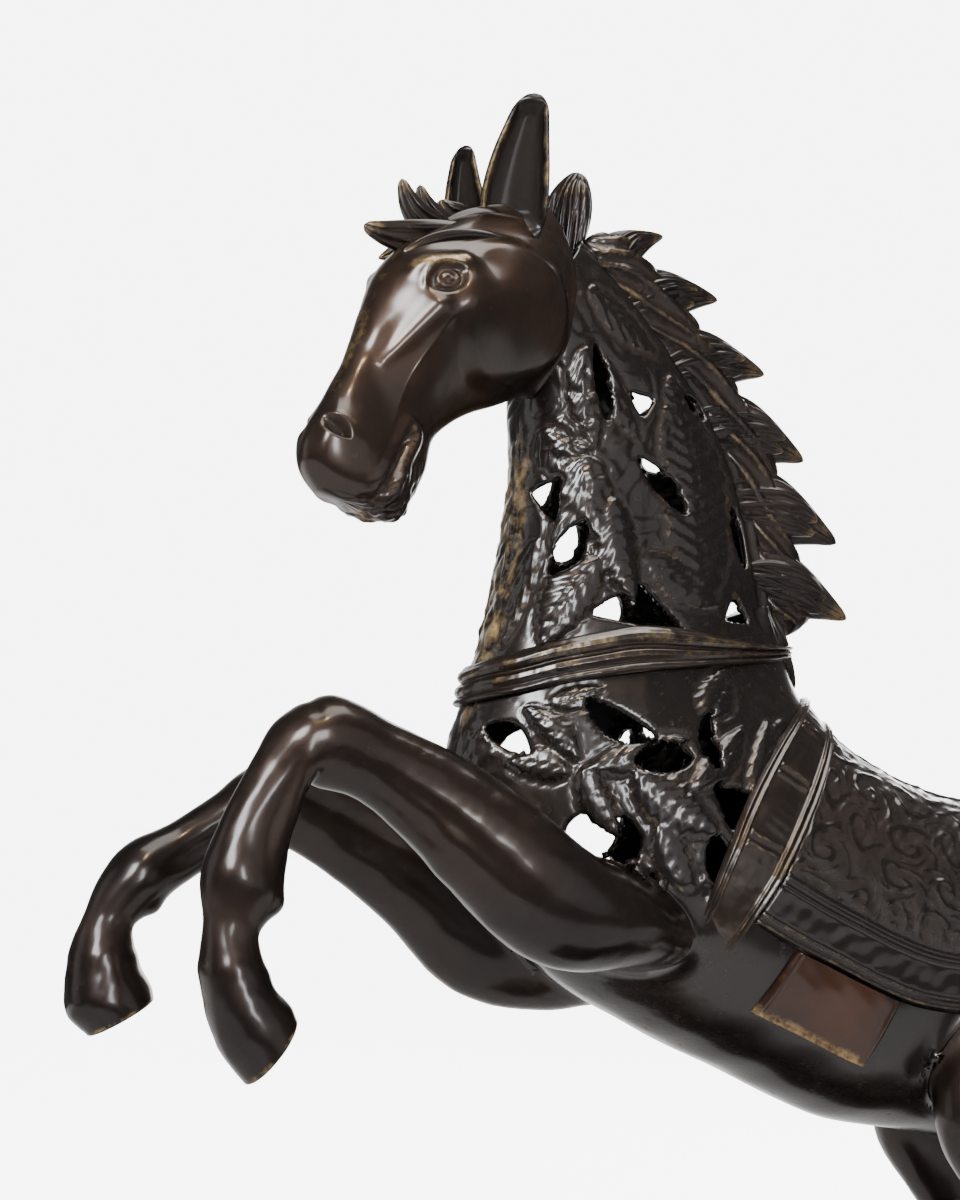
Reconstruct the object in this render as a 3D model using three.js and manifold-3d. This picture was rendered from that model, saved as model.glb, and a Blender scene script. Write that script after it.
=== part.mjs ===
// A rearing horse cast in bronze, front hooves in the air, on a low plinth. The body, neck, head,
// legs, mane and tail are separate castings on inner sleeves, pins and studs.
// Millimetres, +Z up. The horse faces -X and its left side faces -Y.
// The origin is the middle of the underside of the felt below the plinth.
import * as THREE from 'three';
import Module from 'manifold-3d';

const wasm = await Module();
wasm.setup();

// Driving dimensions
const gap = 0.3;                 // clearance between two castings that touch
const slipGap = 0.6;             // clearance between two curved shells, one inside the other
const wall = 3;                  // thickness of the hollow castings
const sides = 24;                // facets around a body section
const base = { length: 290, width: 150, height: 18, corner: 14, edge: 3 };
const felt = { inset: 4, thickness: 2 };
const stud = { radius: 3, nutAcross: 11, nutHeight: 5, washerRadius: 8, washerHeight: 1.2 };
const pinRadius = 1.6;
const maneThickness = 12;
const headTurn = THREE.MathUtils.degToRad(20);         // the head looks to the horse's left
const poll = new THREE.Vector3(-120, -6, 522);         // the head turns about the poll

// The body castings, each from one place to another along bodyRows, and its rings of facets.
const castings = [
  { name: 'croup_casting', from: 0, to: 3.5, steps: 6 },
  { name: 'barrel_casting', from: 3.5, to: 6.6, steps: 4 },
  { name: 'chest_casting', from: 6.6, to: 11, steps: 7 },
  { name: 'neck_casting', from: 11, to: 17, steps: 9 },
];
const jointHalf = 0.015;         // half the seam between two castings, in the same unit
const neckJoint = 11;

// Every section of a body or limb is one row: the top and bottom points in its middle plane (x, z),
// its half width, the y of that plane, the height of its widest level from 0 to 1, and how far
// the crest above and the keel below that level are pinched in.
const bodyRows = [
  [133, 246, 128, 222, 10, 0, 0.5, 0, 0],               // dock
  [128, 268, 116, 196, 33, 0, 0.5, 0.05, 0.1],
  [112, 290, 92, 183, 47, 0, 0.5, 0.05, 0.15],          // croup
  [86, 305, 58, 183, 52, 0, 0.5, 0.08, 0.15],
  [56, 311, 22, 189, 51, 0, 0.48, 0.1, 0.1],            // loins and flank
  [24, 317, -18, 195, 51, 0, 0.46, 0.12, 0.1],
  [-3, 329, -56, 211, 51, 0, 0.45, 0.18, 0.1],          // barrel
  [-17, 340, -95, 228, 50, 0, 0.45, 0.25, 0.1],         // girth
  [-25, 350, -132, 250, 49, 0, 0.45, 0.3, 0.1],
  [-29, 358, -158, 285, 45, 0, 0.45, 0.3, 0.1],         // shoulders and breast
  [-31, 366, -167, 320, 39, 0, 0.45, 0.3, 0.1],
  [-33, 376, -160, 348, 33, 0, 0.45, 0.3, 0],           // foot of the neck
  [-37, 395, -151, 376, 28, 0, 0.45, 0.3, -0.3],
  [-43, 422, -145, 405, 25, 0, 0.45, 0.25, -0.45],
  [-55, 453, -142, 430, 22.5, -1, 0.45, 0.25, -0.45],   // neck
  [-77, 483, -142, 450, 21, -2, 0.45, 0.2, -0.45],
  [-100, 506, -143, 468, 20, -4, 0.45, 0.15, -0.4],
  [-118, 520, -146, 482, 17, -6, 0.45, 0.1, -0.3],      // throat and poll
];
const headRows = [
  [-137, 528, -129, 494, 12, -6, 0.5, 0.1, 0],          // back of the skull
  [-152, 526, -130, 480, 17, -6, 0.5, 0.15, 0.1],
  [-172, 520, -134, 464, 21, -6, 0.5, 0.2, 0.25],       // ears and jaw angle
  [-193, 510, -154, 453, 23.5, -6, 0.55, 0.15, 0.4],    // cheek
  [-210, 496, -172, 446, 24, -6, 0.62, 0.15, 0.5],      // eyes
  [-220, 478, -184, 439, 19, -6, 0.6, 0.2, 0.45],
  [-228, 460, -191, 432, 14.5, -6, 0.58, 0.15, 0.35],   // nose
  [-238, 443, -195, 420, 13, -6, 0.55, 0.1, 0.25],
  [-246, 430, -203, 408, 14, -6, 0.55, 0.1, 0.2],       // nostrils
  [-248, 419, -212, 403, 12.5, -6, 0.5, 0.1, 0.1],
  [-241, 409, -224, 404, 8, -6, 0.5, 0, 0],             // lips
];
// The left foreleg is folded higher than the right one.
const leftForelegRows = [
  [-90, 270, -88, 250, 14, -28, 0.5, 0, 0],
  [-113, 279, -113, 247, 22, -38, 0.5, 0, 0],           // elbow
  [-133, 287, -142, 246, 24, -44, 0.5, 0, 0],
  [-152, 300, -164, 255, 22, -46, 0.5, 0, 0],
  [-168, 311, -185, 274, 18.5, -46, 0.5, 0, 0],         // forearm
  [-184, 320, -200, 289, 15.5, -46, 0.5, 0, 0],
  [-203, 328, -217, 302, 13.5, -46, 0.5, 0, 0],
  [-228, 338, -234, 306, 14, -46, 0.5, 0, 0],           // knee
  [-246, 330, -238, 303, 12.5, -46, 0.5, 0, 0],
  [-255, 317, -241, 295, 10, -46, 0.5, 0, 0],           // cannon
  [-264, 300, -244, 285, 9.5, -46, 0.5, 0, 0],
  [-273, 279, -246, 268, 11.5, -46, 0.5, 0, 0],         // fetlock
  [-273, 260, -253, 255, 9.5, -46, 0.5, 0, 0],
  [-273, 240, -249, 240, 13, -46, 0.5, 0, 0],           // hoof
  [-267, 220, -243, 233, 15.5, -46, 0.5, 0, 0],
  [-257, 207, -241, 229, 15.5, -46, 0.5, 0, 0],
];
const rightForelegRows = [
  [-76, 284, -76, 244, 18, 24, 0.5, 0, 0],
  [-102, 289, -108, 234, 26, 42, 0.5, 0, 0],            // elbow
  [-122, 296, -146, 241, 22, 46, 0.5, 0, 0],
  [-150, 307, -176, 268, 17, 46, 0.5, 0, 0],            // forearm
  [-182, 318, -204, 288, 13.5, 46, 0.5, 0, 0],
  [-212, 330, -224, 296, 14, 46, 0.5, 0, 0],            // knee
  [-230, 321, -231, 291, 12.5, 46, 0.5, 0, 0],
  [-242, 311, -238, 287, 10, 46, 0.5, 0, 0],            // cannon
  [-257, 301, -248, 282, 9.5, 46, 0.5, 0, 0],
  [-277, 290, -262, 271, 11.5, 46, 0.5, 0, 0],          // fetlock
  [-290, 267, -271, 262, 9.5, 46, 0.5, 0, 0],
  [-295, 248, -269, 250, 13, 46, 0.5, 0, 0],            // hoof
  [-295, 232, -265, 242, 15.5, 46, 0.5, 0, 0],
  [-287, 224, -264, 238, 15.5, 46, 0.5, 0, 0],
];
// Both hind legs, with y measured outwards; the left one stands further forward.
const hindLegRows = [
  [52, 268, 118, 250, 20, 20, 0.5, 0, 0],
  [30, 232, 124, 216, 26, 38, 0.5, 0, 0],               // thigh
  [20, 194, 104, 176, 23, 44, 0.5, 0, 0],               // stifle
  [42, 156, 96, 147, 16, 44, 0.5, 0, 0],
  [70, 130, 102, 134, 11.5, 44, 0.5, 0, 0],             // gaskin
  [84, 112, 113, 121, 12, 44, 0.5, 0, 0],               // hock
  [82, 97, 109, 100, 10.5, 44, 0.5, 0, 0],
  [70, 74, 89, 78, 9, 44, 0.5, 0, 0],                   // cannon
  [59, 51, 84, 53, 11.5, 44, 0.5, 0, 0],                // fetlock
  [53, 42, 73, 40, 9.5, 44, 0.5, 0, 0],
  [47, 35, 75, 32, 13, 44, 0.5, 0, 0],                  // hoof
  [40, 20.3, 76, 20.3, 16, 44, 0.5, 0, 0],
];
const hindLegShift = 12;         // the left leg goes forward by this much and the right leg back
const tailRows = [
  [120, 268, 124, 252, 8, 0, 0.5, 0, 0],
  [136, 295, 146, 273, 11, 0, 0.5, 0, 0],               // dock of the tail
  [156, 309, 152, 277, 14, 0, 0.5, 0, 0],
  [186, 298, 162, 274, 17, -2, 0.5, 0, 0],
  [202, 262, 168, 254, 19, -3, 0.5, 0, 0],
  [206, 222, 168, 224, 20, -2, 0.5, 0, 0],
  [204, 182, 162, 188, 20, 1, 0.5, 0, 0],
  [209, 146, 166, 150, 17, 3, 0.5, 0, 0],
  [216, 116, 182, 118, 12, 2, 0.5, 0, 0],
  [220, 96, 202, 96, 5, 0, 0.5, 0, 0],                  // tip
];

// Openings pierced between the cast leaves: the place along bodyRows, the degrees round the section,
// length, width and slant. Each one is on both flanks.
const neckOpenings = [
  [15, 187, 26, 6, 60],
  [14.45, 165, 10, 9, 0],
  [14.2, 132, 9, 7, 40],
  [13.4, 173, 22, 7, -40],
  [13.4, 232, 13, 9, 20],
  [12.7, 220, 13, 8, 70],
  [12.6, 140, 22, 4, 80],
  [11.95, 190, 22, 9, 10],
];
const chestOpenings = [
  [10.2, 238, 18, 10, 10],
  [9.95, 195, 22, 8, 20],
  [9.2, 181, 19, 12, 30],
  [9.15, 163, 20, 4, 80],
  [8.72, 209, 22, 18, 0],
  [8.2, 172, 15, 12, 40],
];

const degrees = THREE.MathUtils.degToRad;
const sideways = new THREE.Vector3(0, 1, 0);
const upright = new THREE.Vector3(0, 0, 1);

// ---------------------------------------------------------------- shapes

// Catmull-Rom blend of the table's rows at a place u along it.
function rowAt(rows, u) {
  const last = rows.length - 1;
  const index = Math.min(Math.max(Math.floor(u), 0), last - 1);
  const f = u - index;
  const pick = (k) => {
    if (k < 0) return rows[0].map((value, c) => 2 * value - rows[1][c]);
    if (k > last) return rows[last].map((value, c) => 2 * value - rows[last - 1][c]);
    return rows[k];
  };
  const [a, b, c, d] = [index - 1, index, index + 1, index + 2].map(pick);
  return b.map((value, i) => 0.5 * (2 * value + (c[i] - a[i]) * f
    + (2 * a[i] - 5 * value + 4 * c[i] - d[i]) * f * f
    + (3 * value - a[i] - 3 * c[i] + d[i]) * f * f * f));
}

// A point of the egg-shaped section at u, at the angle turn round it (0 is +Y, a quarter is the
// top), pushed out by offset.
function sectionPoint(rows, u, turn, offset = 0) {
  const [topX, topZ, bottomX, bottomZ, halfWidth, middleY, level, crest, keel] = rowAt(rows, u);
  const height = Math.hypot(topX - bottomX, topZ - bottomZ);
  const rise = Math.max(Math.sin(turn), 0);
  const fall = Math.max(-Math.sin(turn), 0);
  const along = level * height + ((1 - level) * height + offset) * rise
    - (level * height + offset) * fall;
  const side = (halfWidth * (1 - crest * rise - keel * fall) + offset) * Math.cos(turn);
  const x = bottomX + (topX - bottomX) / height * along;
  const z = bottomZ + (topZ - bottomZ) / height * along;
  return new THREE.Vector3(x, middleY + side, z);
}

function geometryFrom(points, triangles) {
  const geometry = new THREE.BufferGeometry();
  const flat = points.flatMap((p) => [p.x, p.y, p.z]);
  geometry.setAttribute('position', new THREE.Float32BufferAttribute(flat, 3));
  geometry.setIndex(triangles.flat());
  return geometry;
}

// A closed solid from a geometry, welded, with its faces turned outwards.
function toSolid(geometry) {
  const source = geometry.index ? geometry : weld(geometry);
  const position = source.attributes.position.array;
  const triangles = Array.from(source.index.array);
  const corner = (i) => new THREE.Vector3().fromArray(position, 3 * triangles[i]);
  let volume = 0;
  for (let i = 0; i < triangles.length; i += 3) {
    volume += corner(i).dot(corner(i + 1).cross(corner(i + 2)));
  }
  if (volume < 0) triangles.reverse();
  return new wasm.Manifold(new wasm.Mesh({
    numProp: 3,
    vertProperties: new Float32Array(position),
    triVerts: new Uint32Array(triangles),
  }));
}

// Merges the corners that a three.js geometry repeats for its normals.
function weld(geometry) {
  const position = geometry.attributes.position;
  const index = geometry.index ? geometry.index.array : [...Array(position.count).keys()];
  const places = new Map();
  const points = [];
  const renumbered = Array.from(index, (i) => {
    const p = new THREE.Vector3().fromBufferAttribute(position, i);
    const key = [p.x, p.y, p.z].map((value) => Math.round(value * 1e3)).join();
    if (!places.has(key)) places.set(key, points.push(p) - 1);
    return places.get(key);
  });
  const triangles = [];
  for (let i = 0; i < renumbered.length; i += 3) {
    const [a, b, c] = renumbered.slice(i, i + 3);
    if (a !== b && b !== c && a !== c) triangles.push([a, b, c]);
  }
  return geometryFrom(points, triangles);
}

const primitive = (geometry) => toSolid(weld(geometry));

// Two triangles for each cell of a grid of points that closes on itself along its second way.
function gridTriangles(rings, around, closeRings = false) {
  const triangles = [];
  for (let i = 0; i < (closeRings ? rings : rings - 1); i += 1) {
    const next = (i + 1) % rings;
    for (let j = 0; j < around; j += 1) {
      const k = (j + 1) % around;
      const corners = [i * around + j, i * around + k, next * around + k, next * around + j];
      triangles.push([corners[0], corners[1], corners[2]], [corners[0], corners[2], corners[3]]);
    }
  }
  return triangles;
}

// Closes the first and last ring of a grid with a fan round each ring's middle.
function closeEnds(points, triangles, rings, around) {
  for (const first of [0, (rings - 1) * around]) {
    const centre = new THREE.Vector3();
    points.slice(first, first + around).forEach((p) => centre.addScaledVector(p, 1 / around));
    points.push(centre);
    for (let j = 0; j < around; j += 1) {
      const pair = [first + (j + 1) % around, first + j];
      if (first > 0) pair.reverse();
      triangles.push([points.length - 1, ...pair]);
    }
  }
}

// A solid of the sections of rows between two places.
function loft(rows, from, to, steps, around = sides, offset = 0) {
  const points = [];
  for (let i = 0; i <= steps; i += 1) {
    const u = from + (to - from) * i / steps;
    for (let j = 0; j < around; j += 1) {
      points.push(sectionPoint(rows, u, 2 * Math.PI * j / around, offset));
    }
  }
  const triangles = gridTriangles(steps + 1, around);
  closeEnds(points, triangles, steps + 1, around);
  return toSolid(geometryFrom(points, triangles));
}

// An open-ended shell of the body between two places.
function bodyShell(from, to, steps, outer, inner) {
  const past = 0.08;
  return loft(bodyRows, from, to, steps, sides, outer)
    .subtract(loft(bodyRows, from - past, to + past, steps, sides, inner));
}

// A raised patch on the body: a profile of [share of the width, height] pairs across it, carried
// round the section from one angle to another. The place of each edge is a function of the angle.
function patch(profile, rearEdge, frontEdge, fromTurn, toTurn, steps, closed = false) {
  const points = [];
  const count = closed ? steps : steps + 1;
  for (let i = 0; i < count; i += 1) {
    const turn = fromTurn + (toTurn - fromTurn) * i / steps;
    const rear = rearEdge(turn);
    const front = frontEdge(turn);
    for (const [share, height] of profile) {
      points.push(sectionPoint(bodyRows, rear + (front - rear) * share, turn, height));
    }
  }
  const around = profile.length;
  const triangles = gridTriangles(count, around, closed);
  if (!closed) closeEnds(points, triangles, count, around);
  return toSolid(geometryFrom(points, triangles));
}

// A cylinder along a direction, with its middle at a point.
function rod(centre, direction, radius, length, facets = 8) {
  const geometry = new THREE.CylinderGeometry(radius, radius, length, facets);
  const turn = new THREE.Quaternion();
  turn.setFromUnitVectors(new THREE.Vector3(0, 1, 0), direction.clone().normalize());
  geometry.applyQuaternion(turn);
  geometry.translate(centre.x, centre.y, centre.z);
  return primitive(geometry);
}

// The point, outward normal and forward direction of the body's skin.
function skinFrame(u, turn) {
  const step = 0.01;
  const point = sectionPoint(bodyRows, u, turn);
  const forward = sectionPoint(bodyRows, u + step, turn).sub(point).normalize();
  const around = sectionPoint(bodyRows, u, turn + step).sub(point).normalize();
  const normal = forward.clone().cross(around).normalize();
  const outside = sectionPoint(bodyRows, u, turn, 1).sub(point);
  if (normal.dot(outside) < 0) normal.negate();
  return { point, normal, forward };
}

// Cuts the leaf-shaped openings through both flanks of a shell.
function pierce(shell, openings) {
  const depth = 22;
  let result = shell;
  for (const [u, turnDegrees, length, width, slant] of openings) {
    for (const turn of [degrees(turnDegrees), Math.PI - degrees(turnDegrees)]) {
      const { point, normal, forward } = skinFrame(u, turn);
      const cutter = new THREE.CylinderGeometry(1, 1, depth, 8);
      cutter.scale(length / 2, 1, width / 2);
      cutter.rotateY(degrees(slant) * Math.sign(point.y));
      const across = new THREE.Vector3().crossVectors(forward, normal).normalize();
      const placing = new THREE.Matrix4().makeBasis(forward, normal, across);
      placing.setPosition(point);
      cutter.applyMatrix4(placing);
      result = result.subtract(primitive(cutter));
    }
  }
  return result;
}

// The largest of the bodies that a cut leaves.
function largest(solid) {
  const pieces = solid.decompose();
  pieces.sort((a, b) => b.volume() - a.volume());
  return pieces[0];
}

function turnHead(solid) {
  return solid.translate([-poll.x, -poll.y, 0])
    .rotate([0, 0, THREE.MathUtils.radToDeg(headTurn)])
    .translate([poll.x, poll.y, 0]);
}

// ---------------------------------------------------------------- finishes

const finishes = {
  bronze: { color: 0x2b1a10, roughness: 0.32, metalness: 1 },
  rubbedBronze: { color: 0x6d4422, roughness: 0.3, metalness: 1 },
  rawBronze: { color: 0x8a6136, roughness: 0.5, metalness: 1 },
  steel: { color: 0x8d8f92, roughness: 0.4, metalness: 1 },
  felt: { color: 0x1d3b2a, roughness: 1, metalness: 0 },
};

const figure = new THREE.Group();

function addPiece(name, solid, finish) {
  const { vertProperties, triVerts } = solid.getMesh();
  const geometry = new THREE.BufferGeometry();
  geometry.setAttribute('position', new THREE.BufferAttribute(vertProperties, 3));
  geometry.setIndex(new THREE.BufferAttribute(triVerts, 1));
  geometry.computeVertexNormals();
  const mesh = new THREE.Mesh(geometry, new THREE.MeshStandardMaterial(finishes[finish]));
  mesh.name = name;
  figure.add(mesh);
}

// ---------------------------------------------------------------- envelopes

// The whole body as one solid, with the same facets as its castings, pushed out by offset.
function bodyForm(offset) {
  const parts = castings.map(({ from, to, steps }) => loft(bodyRows, from, to, steps, sides, offset));
  return parts.reduce((whole, part) => whole.add(part));
}

const skin = bodyForm(0);
const grownSkin = bodyForm(gap);
const headForm = turnHead(loft(headRows, 0, headRows.length - 1, 18, 16));
const grownHead = turnHead(loft(headRows, 0, headRows.length - 1, 18, 16, gap));

// ---------------------------------------------------------------- body

// A pin lies flush in the skin and reaches through the wall and the sleeve under it.
function pinAt(u, turn, radius, form) {
  const depth = 16;
  const { point, normal } = skinFrame(u, turn);
  return rod(point, normal, radius, depth).intersect(form);
}

const joints = [
  { name: 'croup', place: 3.5 },
  { name: 'barrel', place: 6.6 },
  { name: 'neck', place: neckJoint },
];

function makeBody() {
  const shells = {};
  for (const { name, from, to, steps } of castings) {
    shells[name] = bodyShell(from + jointHalf, to - jointHalf, steps, 0, -wall);
  }
  const closedEnd = 0.5;
  const croup = castings[0];
  shells.croup_casting = loft(bodyRows, croup.from, croup.to - jointHalf, croup.steps)
    .subtract(loft(bodyRows, closedEnd, croup.to + jointHalf, croup.steps, sides, -wall));
  shells.chest_casting = pierce(shells.chest_casting, chestOpenings);
  shells.neck_casting = pierce(shells.neck_casting, neckOpenings);
  const sleeveHalf = 0.3;
  for (const { name, place } of joints) {
    let sleeve = bodyShell(place - sleeveHalf, place + sleeveHalf, 2, -wall - slipGap,
      -2 * wall - slipGap);
    [90, 190, -10].map(degrees).forEach((turn, number) => {
      const u = place + sleeveHalf / 2;
      const hole = pinAt(u, turn, pinRadius + gap, grownSkin);
      for (const key of Object.keys(shells)) shells[key] = shells[key].subtract(hole);
      sleeve = sleeve.subtract(hole);
      addPiece(`${name}_joint_pin_${number + 1}`, pinAt(u, turn, pinRadius, skin), 'rubbedBronze');
    });
    addPiece(`${name}_joint_sleeve`, sleeve, 'rawBronze');
  }
  return shells;
}

// ---------------------------------------------------------------- head

function makeHead(shells) {
  const hollow = turnHead(loft(headRows, 0.5, 8.2, 7, 16, -wall));
  let head = headForm.subtract(hollow).subtract(grownSkin);
  head = largest(head);
  const at = new THREE.Vector3(-133, -6, 500);
  const hole = rod(at, sideways, pinRadius + gap, 80);
  shells.neck_casting = shells.neck_casting.subtract(hole);
  const crossPin = rod(at, sideways, pinRadius, 70).intersect(skin.add(headForm));
  addPiece('head_cross_pin', largest(crossPin), 'rubbedBronze');
  head = head.subtract(hole);
  addPiece('head_casting', largest(head), 'bronze');
}

// An ear is a pointed leaf that stands on the head with its flat side to the horse's flank.
function makeEar(name, foot, tip, halfWidth) {
  const halfThickness = 3.5;
  const rows = [0, 0.2, 0.45, 0.75, 1].map((share) => {
    const middle = foot.clone().lerp(tip, share);
    const shape = Math.sin(Math.PI * (0.22 + 0.75 * share));
    const breadth = halfWidth * shape;
    return [middle.x + breadth, middle.z, middle.x - breadth, middle.z, halfThickness * shape,
      middle.y, 0.5, 0, 0];
  });
  const ear = loft(rows, 0, rows.length - 1, 6, 8);
  addPiece(name, largest(ear.subtract(grownHead)), 'bronze');
}

// ---------------------------------------------------------------- hair

function outlineSolid(points, thickness, middleY) {
  const outline = new THREE.Shape(points.map(([x, z]) => new THREE.Vector2(x, z)));
  const geometry = new THREE.ExtrudeGeometry(outline, { depth: thickness, bevelEnabled: false });
  geometry.rotateX(Math.PI / 2);
  geometry.translate(0, middleY + thickness / 2, 0);
  return primitive(geometry);
}

// The mane is a strip on the crest of the neck with seven upright locks.
const maneOutline = [
  [-126, 508], [-128, 524], [-123, 540], [-116, 549], [-107, 546], [-103, 530],
  [-92, 528], [-81, 527], [-84, 514],
  [-70, 507], [-57, 505], [-66, 490],
  [-54, 484], [-39, 477], [-47, 464],
  [-34, 455], [-22, 445], [-31, 431],
  [-20, 423], [-9, 414], [-18, 398],
  [-11, 391], [-5, 384], [-14, 377],
  [-22, 372], [-27, 357], [-38, 356],
  [-42, 372], [-50, 410], [-58, 445], [-78, 473], [-100, 494],
];

// The forelock rises between the ears and curls over the brow.
const forelockOutline = [
  [-172, 512], [-171, 522], [-178, 530], [-186, 535], [-189, 530], [-194, 523], [-203, 530],
  [-208, 524], [-206, 514], [-214, 508], [-224, 505], [-230, 499], [-219, 497], [-212, 488],
  [-200, 496], [-186, 506],
];

function makeHair() {
  const collarSlot = outlineSolid(maneOutline, maneThickness + 2 * slipGap, -1);
  const mane = outlineSolid(maneOutline, maneThickness, -1);
  addPiece('mane_crest', largest(mane.subtract(grownSkin).subtract(grownHead)), 'bronze');
  const lock = turnHead(outlineSolid(forelockOutline, 22, poll.y));
  addPiece('forelock', largest(lock.subtract(grownHead)), 'bronze');
  return collarSlot;
}

function makeTail(shells) {
  const tail = loft(tailRows, 0, tailRows.length - 1, 14, 12);
  const centre = new THREE.Vector3(128, 0, 262);
  const along = new THREE.Vector3(1, 0, 1);
  const hole = rod(centre, along, stud.radius + gap, 44);
  shells.croup_casting = shells.croup_casting.subtract(hole);
  addPiece('tail', largest(tail.subtract(grownSkin).subtract(hole)), 'bronze');
  addPiece('tail_stud', rod(centre, along, stud.radius, 40), 'steel');
  const nutPlace = centre.clone().addScaledVector(along.normalize(), -15);
  addPiece('tail_nut', nutOn(nutPlace, along), 'steel');
}

// ---------------------------------------------------------------- trappings

const inTurn = (turn) => Math.abs(THREE.MathUtils.radToDeg(turn) - 90);

// Straight-line reading of a table of [degrees from the top, value].
function readTable(table, x) {
  const next = table.findIndex(([at]) => at >= x);
  if (next <= 0) return table[next === 0 ? 0 : table.length - 1][1];
  const [x0, y0] = table[next - 1];
  const [x1, y1] = table[next];
  return y0 + (y1 - y0) * (x - x0) / (x1 - x0);
}

// The profile of an even slab, which follows the body in a number of steps.
function slabProfile(steps, low, high) {
  const shares = [...Array(steps + 1).keys()].map((i) => i / steps);
  const upper = shares.map((share) => [share, high]);
  const lower = shares.map((share) => [share, low]).reverse();
  return [...upper, ...lower];
}

function blanketSlab(low, high, margin) {
  return patch(slabProfile(6, low, high), () => 3.4 - margin, () => 6.72 + margin,
    degrees(-15 - 50 * margin), degrees(195 + 50 * margin), 14);
}

function makeTrappings(collarSlot) {
  const foot = slipGap;
  const fullTurn = degrees(450);
  const start = degrees(90);
  const collarProfile = [
    [0, foot], [0, 2.5], [0.14, 4.4], [0.34, 4.4], [0.5, 2.4],
    [0.66, 4.4], [0.86, 4.4], [1, 2.5], [1, foot],
  ];
  // The collar keeps its width although the sections fan out towards the breast.
  const collarHalf = (turn) => 0.34 - 0.1 * Math.sin(turn - Math.PI);
  const fold = (turn) => Math.sin(turn) * 0.1;
  const collar = patch(collarProfile, (t) => neckJoint - fold(t) - collarHalf(t) * 0.8,
    (t) => neckJoint - fold(t) + collarHalf(t) * 0.8, start, fullTurn, sides, true);
  addPiece('neck_collar', largest(collar.subtract(collarSlot)), 'rubbedBronze');

  const girthRear = [[0, 6.85], [90, 6.98], [130, 6.95], [180, 6.8]];
  const girthFront = [[0, 8.05], [38, 8.25], [70, 8.1], [95, 7.7], [120, 7.35], [180, 7.2]];
  const wrapped = (turn) => {
    const from = inTurn(turn) % 360;
    return from > 180 ? 360 - from : from;
  };
  const girthProfile = [
    [0, foot], [0, 2.6], [0.12, 3.6], [0.24, 2.2], [0.76, 2.2], [0.88, 3.6], [1, 2.6], [1, foot],
  ];
  const girth = patch(girthProfile, (t) => readTable(girthRear, wrapped(t)),
    (t) => readTable(girthFront, wrapped(t)), start, fullTurn, sides, true);

  addPiece('saddle_blanket', blanketSlab(foot, 2.8, 0), 'bronze');
  const flapProfile = slabProfile(3, foot, 3.4);
  const flap = (from, to) => patch(flapProfile, () => 5.15, () => 6.4, degrees(from), degrees(to), 2);
  addPiece('left_flap', flap(197, 225), 'rubbedBronze');
  addPiece('right_flap', flap(-45, -17), 'rubbedBronze');
  return girth;
}

// ---------------------------------------------------------------- legs

function nutOn(centre, direction) {
  const ring = rod(centre, direction, stud.nutAcross / 2, stud.nutHeight, 6);
  return ring.subtract(rod(centre, direction, stud.radius + gap, stud.nutHeight * 2));
}

function limb(rows, offset) {
  const last = rows.length - 1;
  return loft(rows, 0, last, Math.round(last * 1.5), 12, offset);
}

// A leg is held by a stud across the flank with a nut inside the body.
function makeLeg(name, rows, studAt, shells, covers) {
  const side = Math.sign(rows[3][5]);
  const centre = new THREE.Vector3(studAt.x, side * 42, studAt.z);
  const hole = rod(centre, sideways, stud.radius + gap, 44);
  let leg = limb(rows, 0).subtract(grownSkin);
  for (const cover of covers) leg = leg.subtract(cover);
  leg = leg.subtract(rod(centre, sideways, stud.radius + gap, 38));
  for (const key of Object.keys(shells)) shells[key] = shells[key].subtract(hole);
  addPiece(`${name}_stud`, rod(centre, sideways, stud.radius, 37), 'steel');
  const nutPlace = new THREE.Vector3(studAt.x, side * studAt.nut, studAt.z);
  addPiece(`${name}_nut`, nutOn(nutPlace, sideways), 'steel');
  return largest(leg);
}

// A standing hoof is bolted down through the plinth.
function standOn(name, leg, x, y, plinth) {
  const shaft = new THREE.Vector3(x, y, 22);
  const counterbore = 8;
  const bottom = felt.thickness;
  const hole = rod(shaft, upright, stud.radius + gap, 36);
  const pocket = new THREE.Vector3(x, y, bottom);
  const cutPlinth = plinth.subtract(hole)
    .subtract(rod(pocket, upright, stud.washerRadius + 2, 2 * counterbore, 20));
  addPiece(`${name}_hoof_stud`, rod(new THREE.Vector3(x, y, 21), upright, stud.radius, 32), 'steel');
  const washerZ = bottom + counterbore - gap - stud.washerHeight / 2;
  const washer = rod(new THREE.Vector3(x, y, washerZ), upright, stud.washerRadius,
    stud.washerHeight, 12).subtract(hole);
  addPiece(`${name}_hoof_washer`, washer, 'steel');
  const nutZ = washerZ - stud.washerHeight / 2 - gap - stud.nutHeight / 2;
  addPiece(`${name}_hoof_nut`, nutOn(new THREE.Vector3(x, y, nutZ), upright), 'steel');
  addPiece(`${name}_leg`, leg.subtract(hole), 'bronze');
  return cutPlinth;
}

// ---------------------------------------------------------------- plinth

function roundedRectangle(length, width, corner) {
  const shape = new THREE.Shape();
  const x = length / 2 - corner;
  const y = width / 2 - corner;
  shape.moveTo(x + corner, -y);
  shape.absarc(x, y, corner, 0, Math.PI / 2);
  shape.absarc(-x, y, corner, Math.PI / 2, Math.PI);
  shape.absarc(-x, -y, corner, Math.PI, 1.5 * Math.PI);
  shape.absarc(x, -y, corner, 1.5 * Math.PI, 2 * Math.PI);
  return shape;
}

function makePlinth() {
  const outline = roundedRectangle(base.length - 2 * base.edge, base.width - 2 * base.edge,
    base.corner - base.edge);
  const geometry = new THREE.ExtrudeGeometry(outline, {
    depth: base.height - 2 * base.edge,
    bevelThickness: base.edge,
    bevelSize: base.edge,
    bevelSegments: 1,
    curveSegments: 5,
  });
  geometry.translate(0, 0, felt.thickness + base.edge);
  return primitive(geometry);
}

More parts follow.
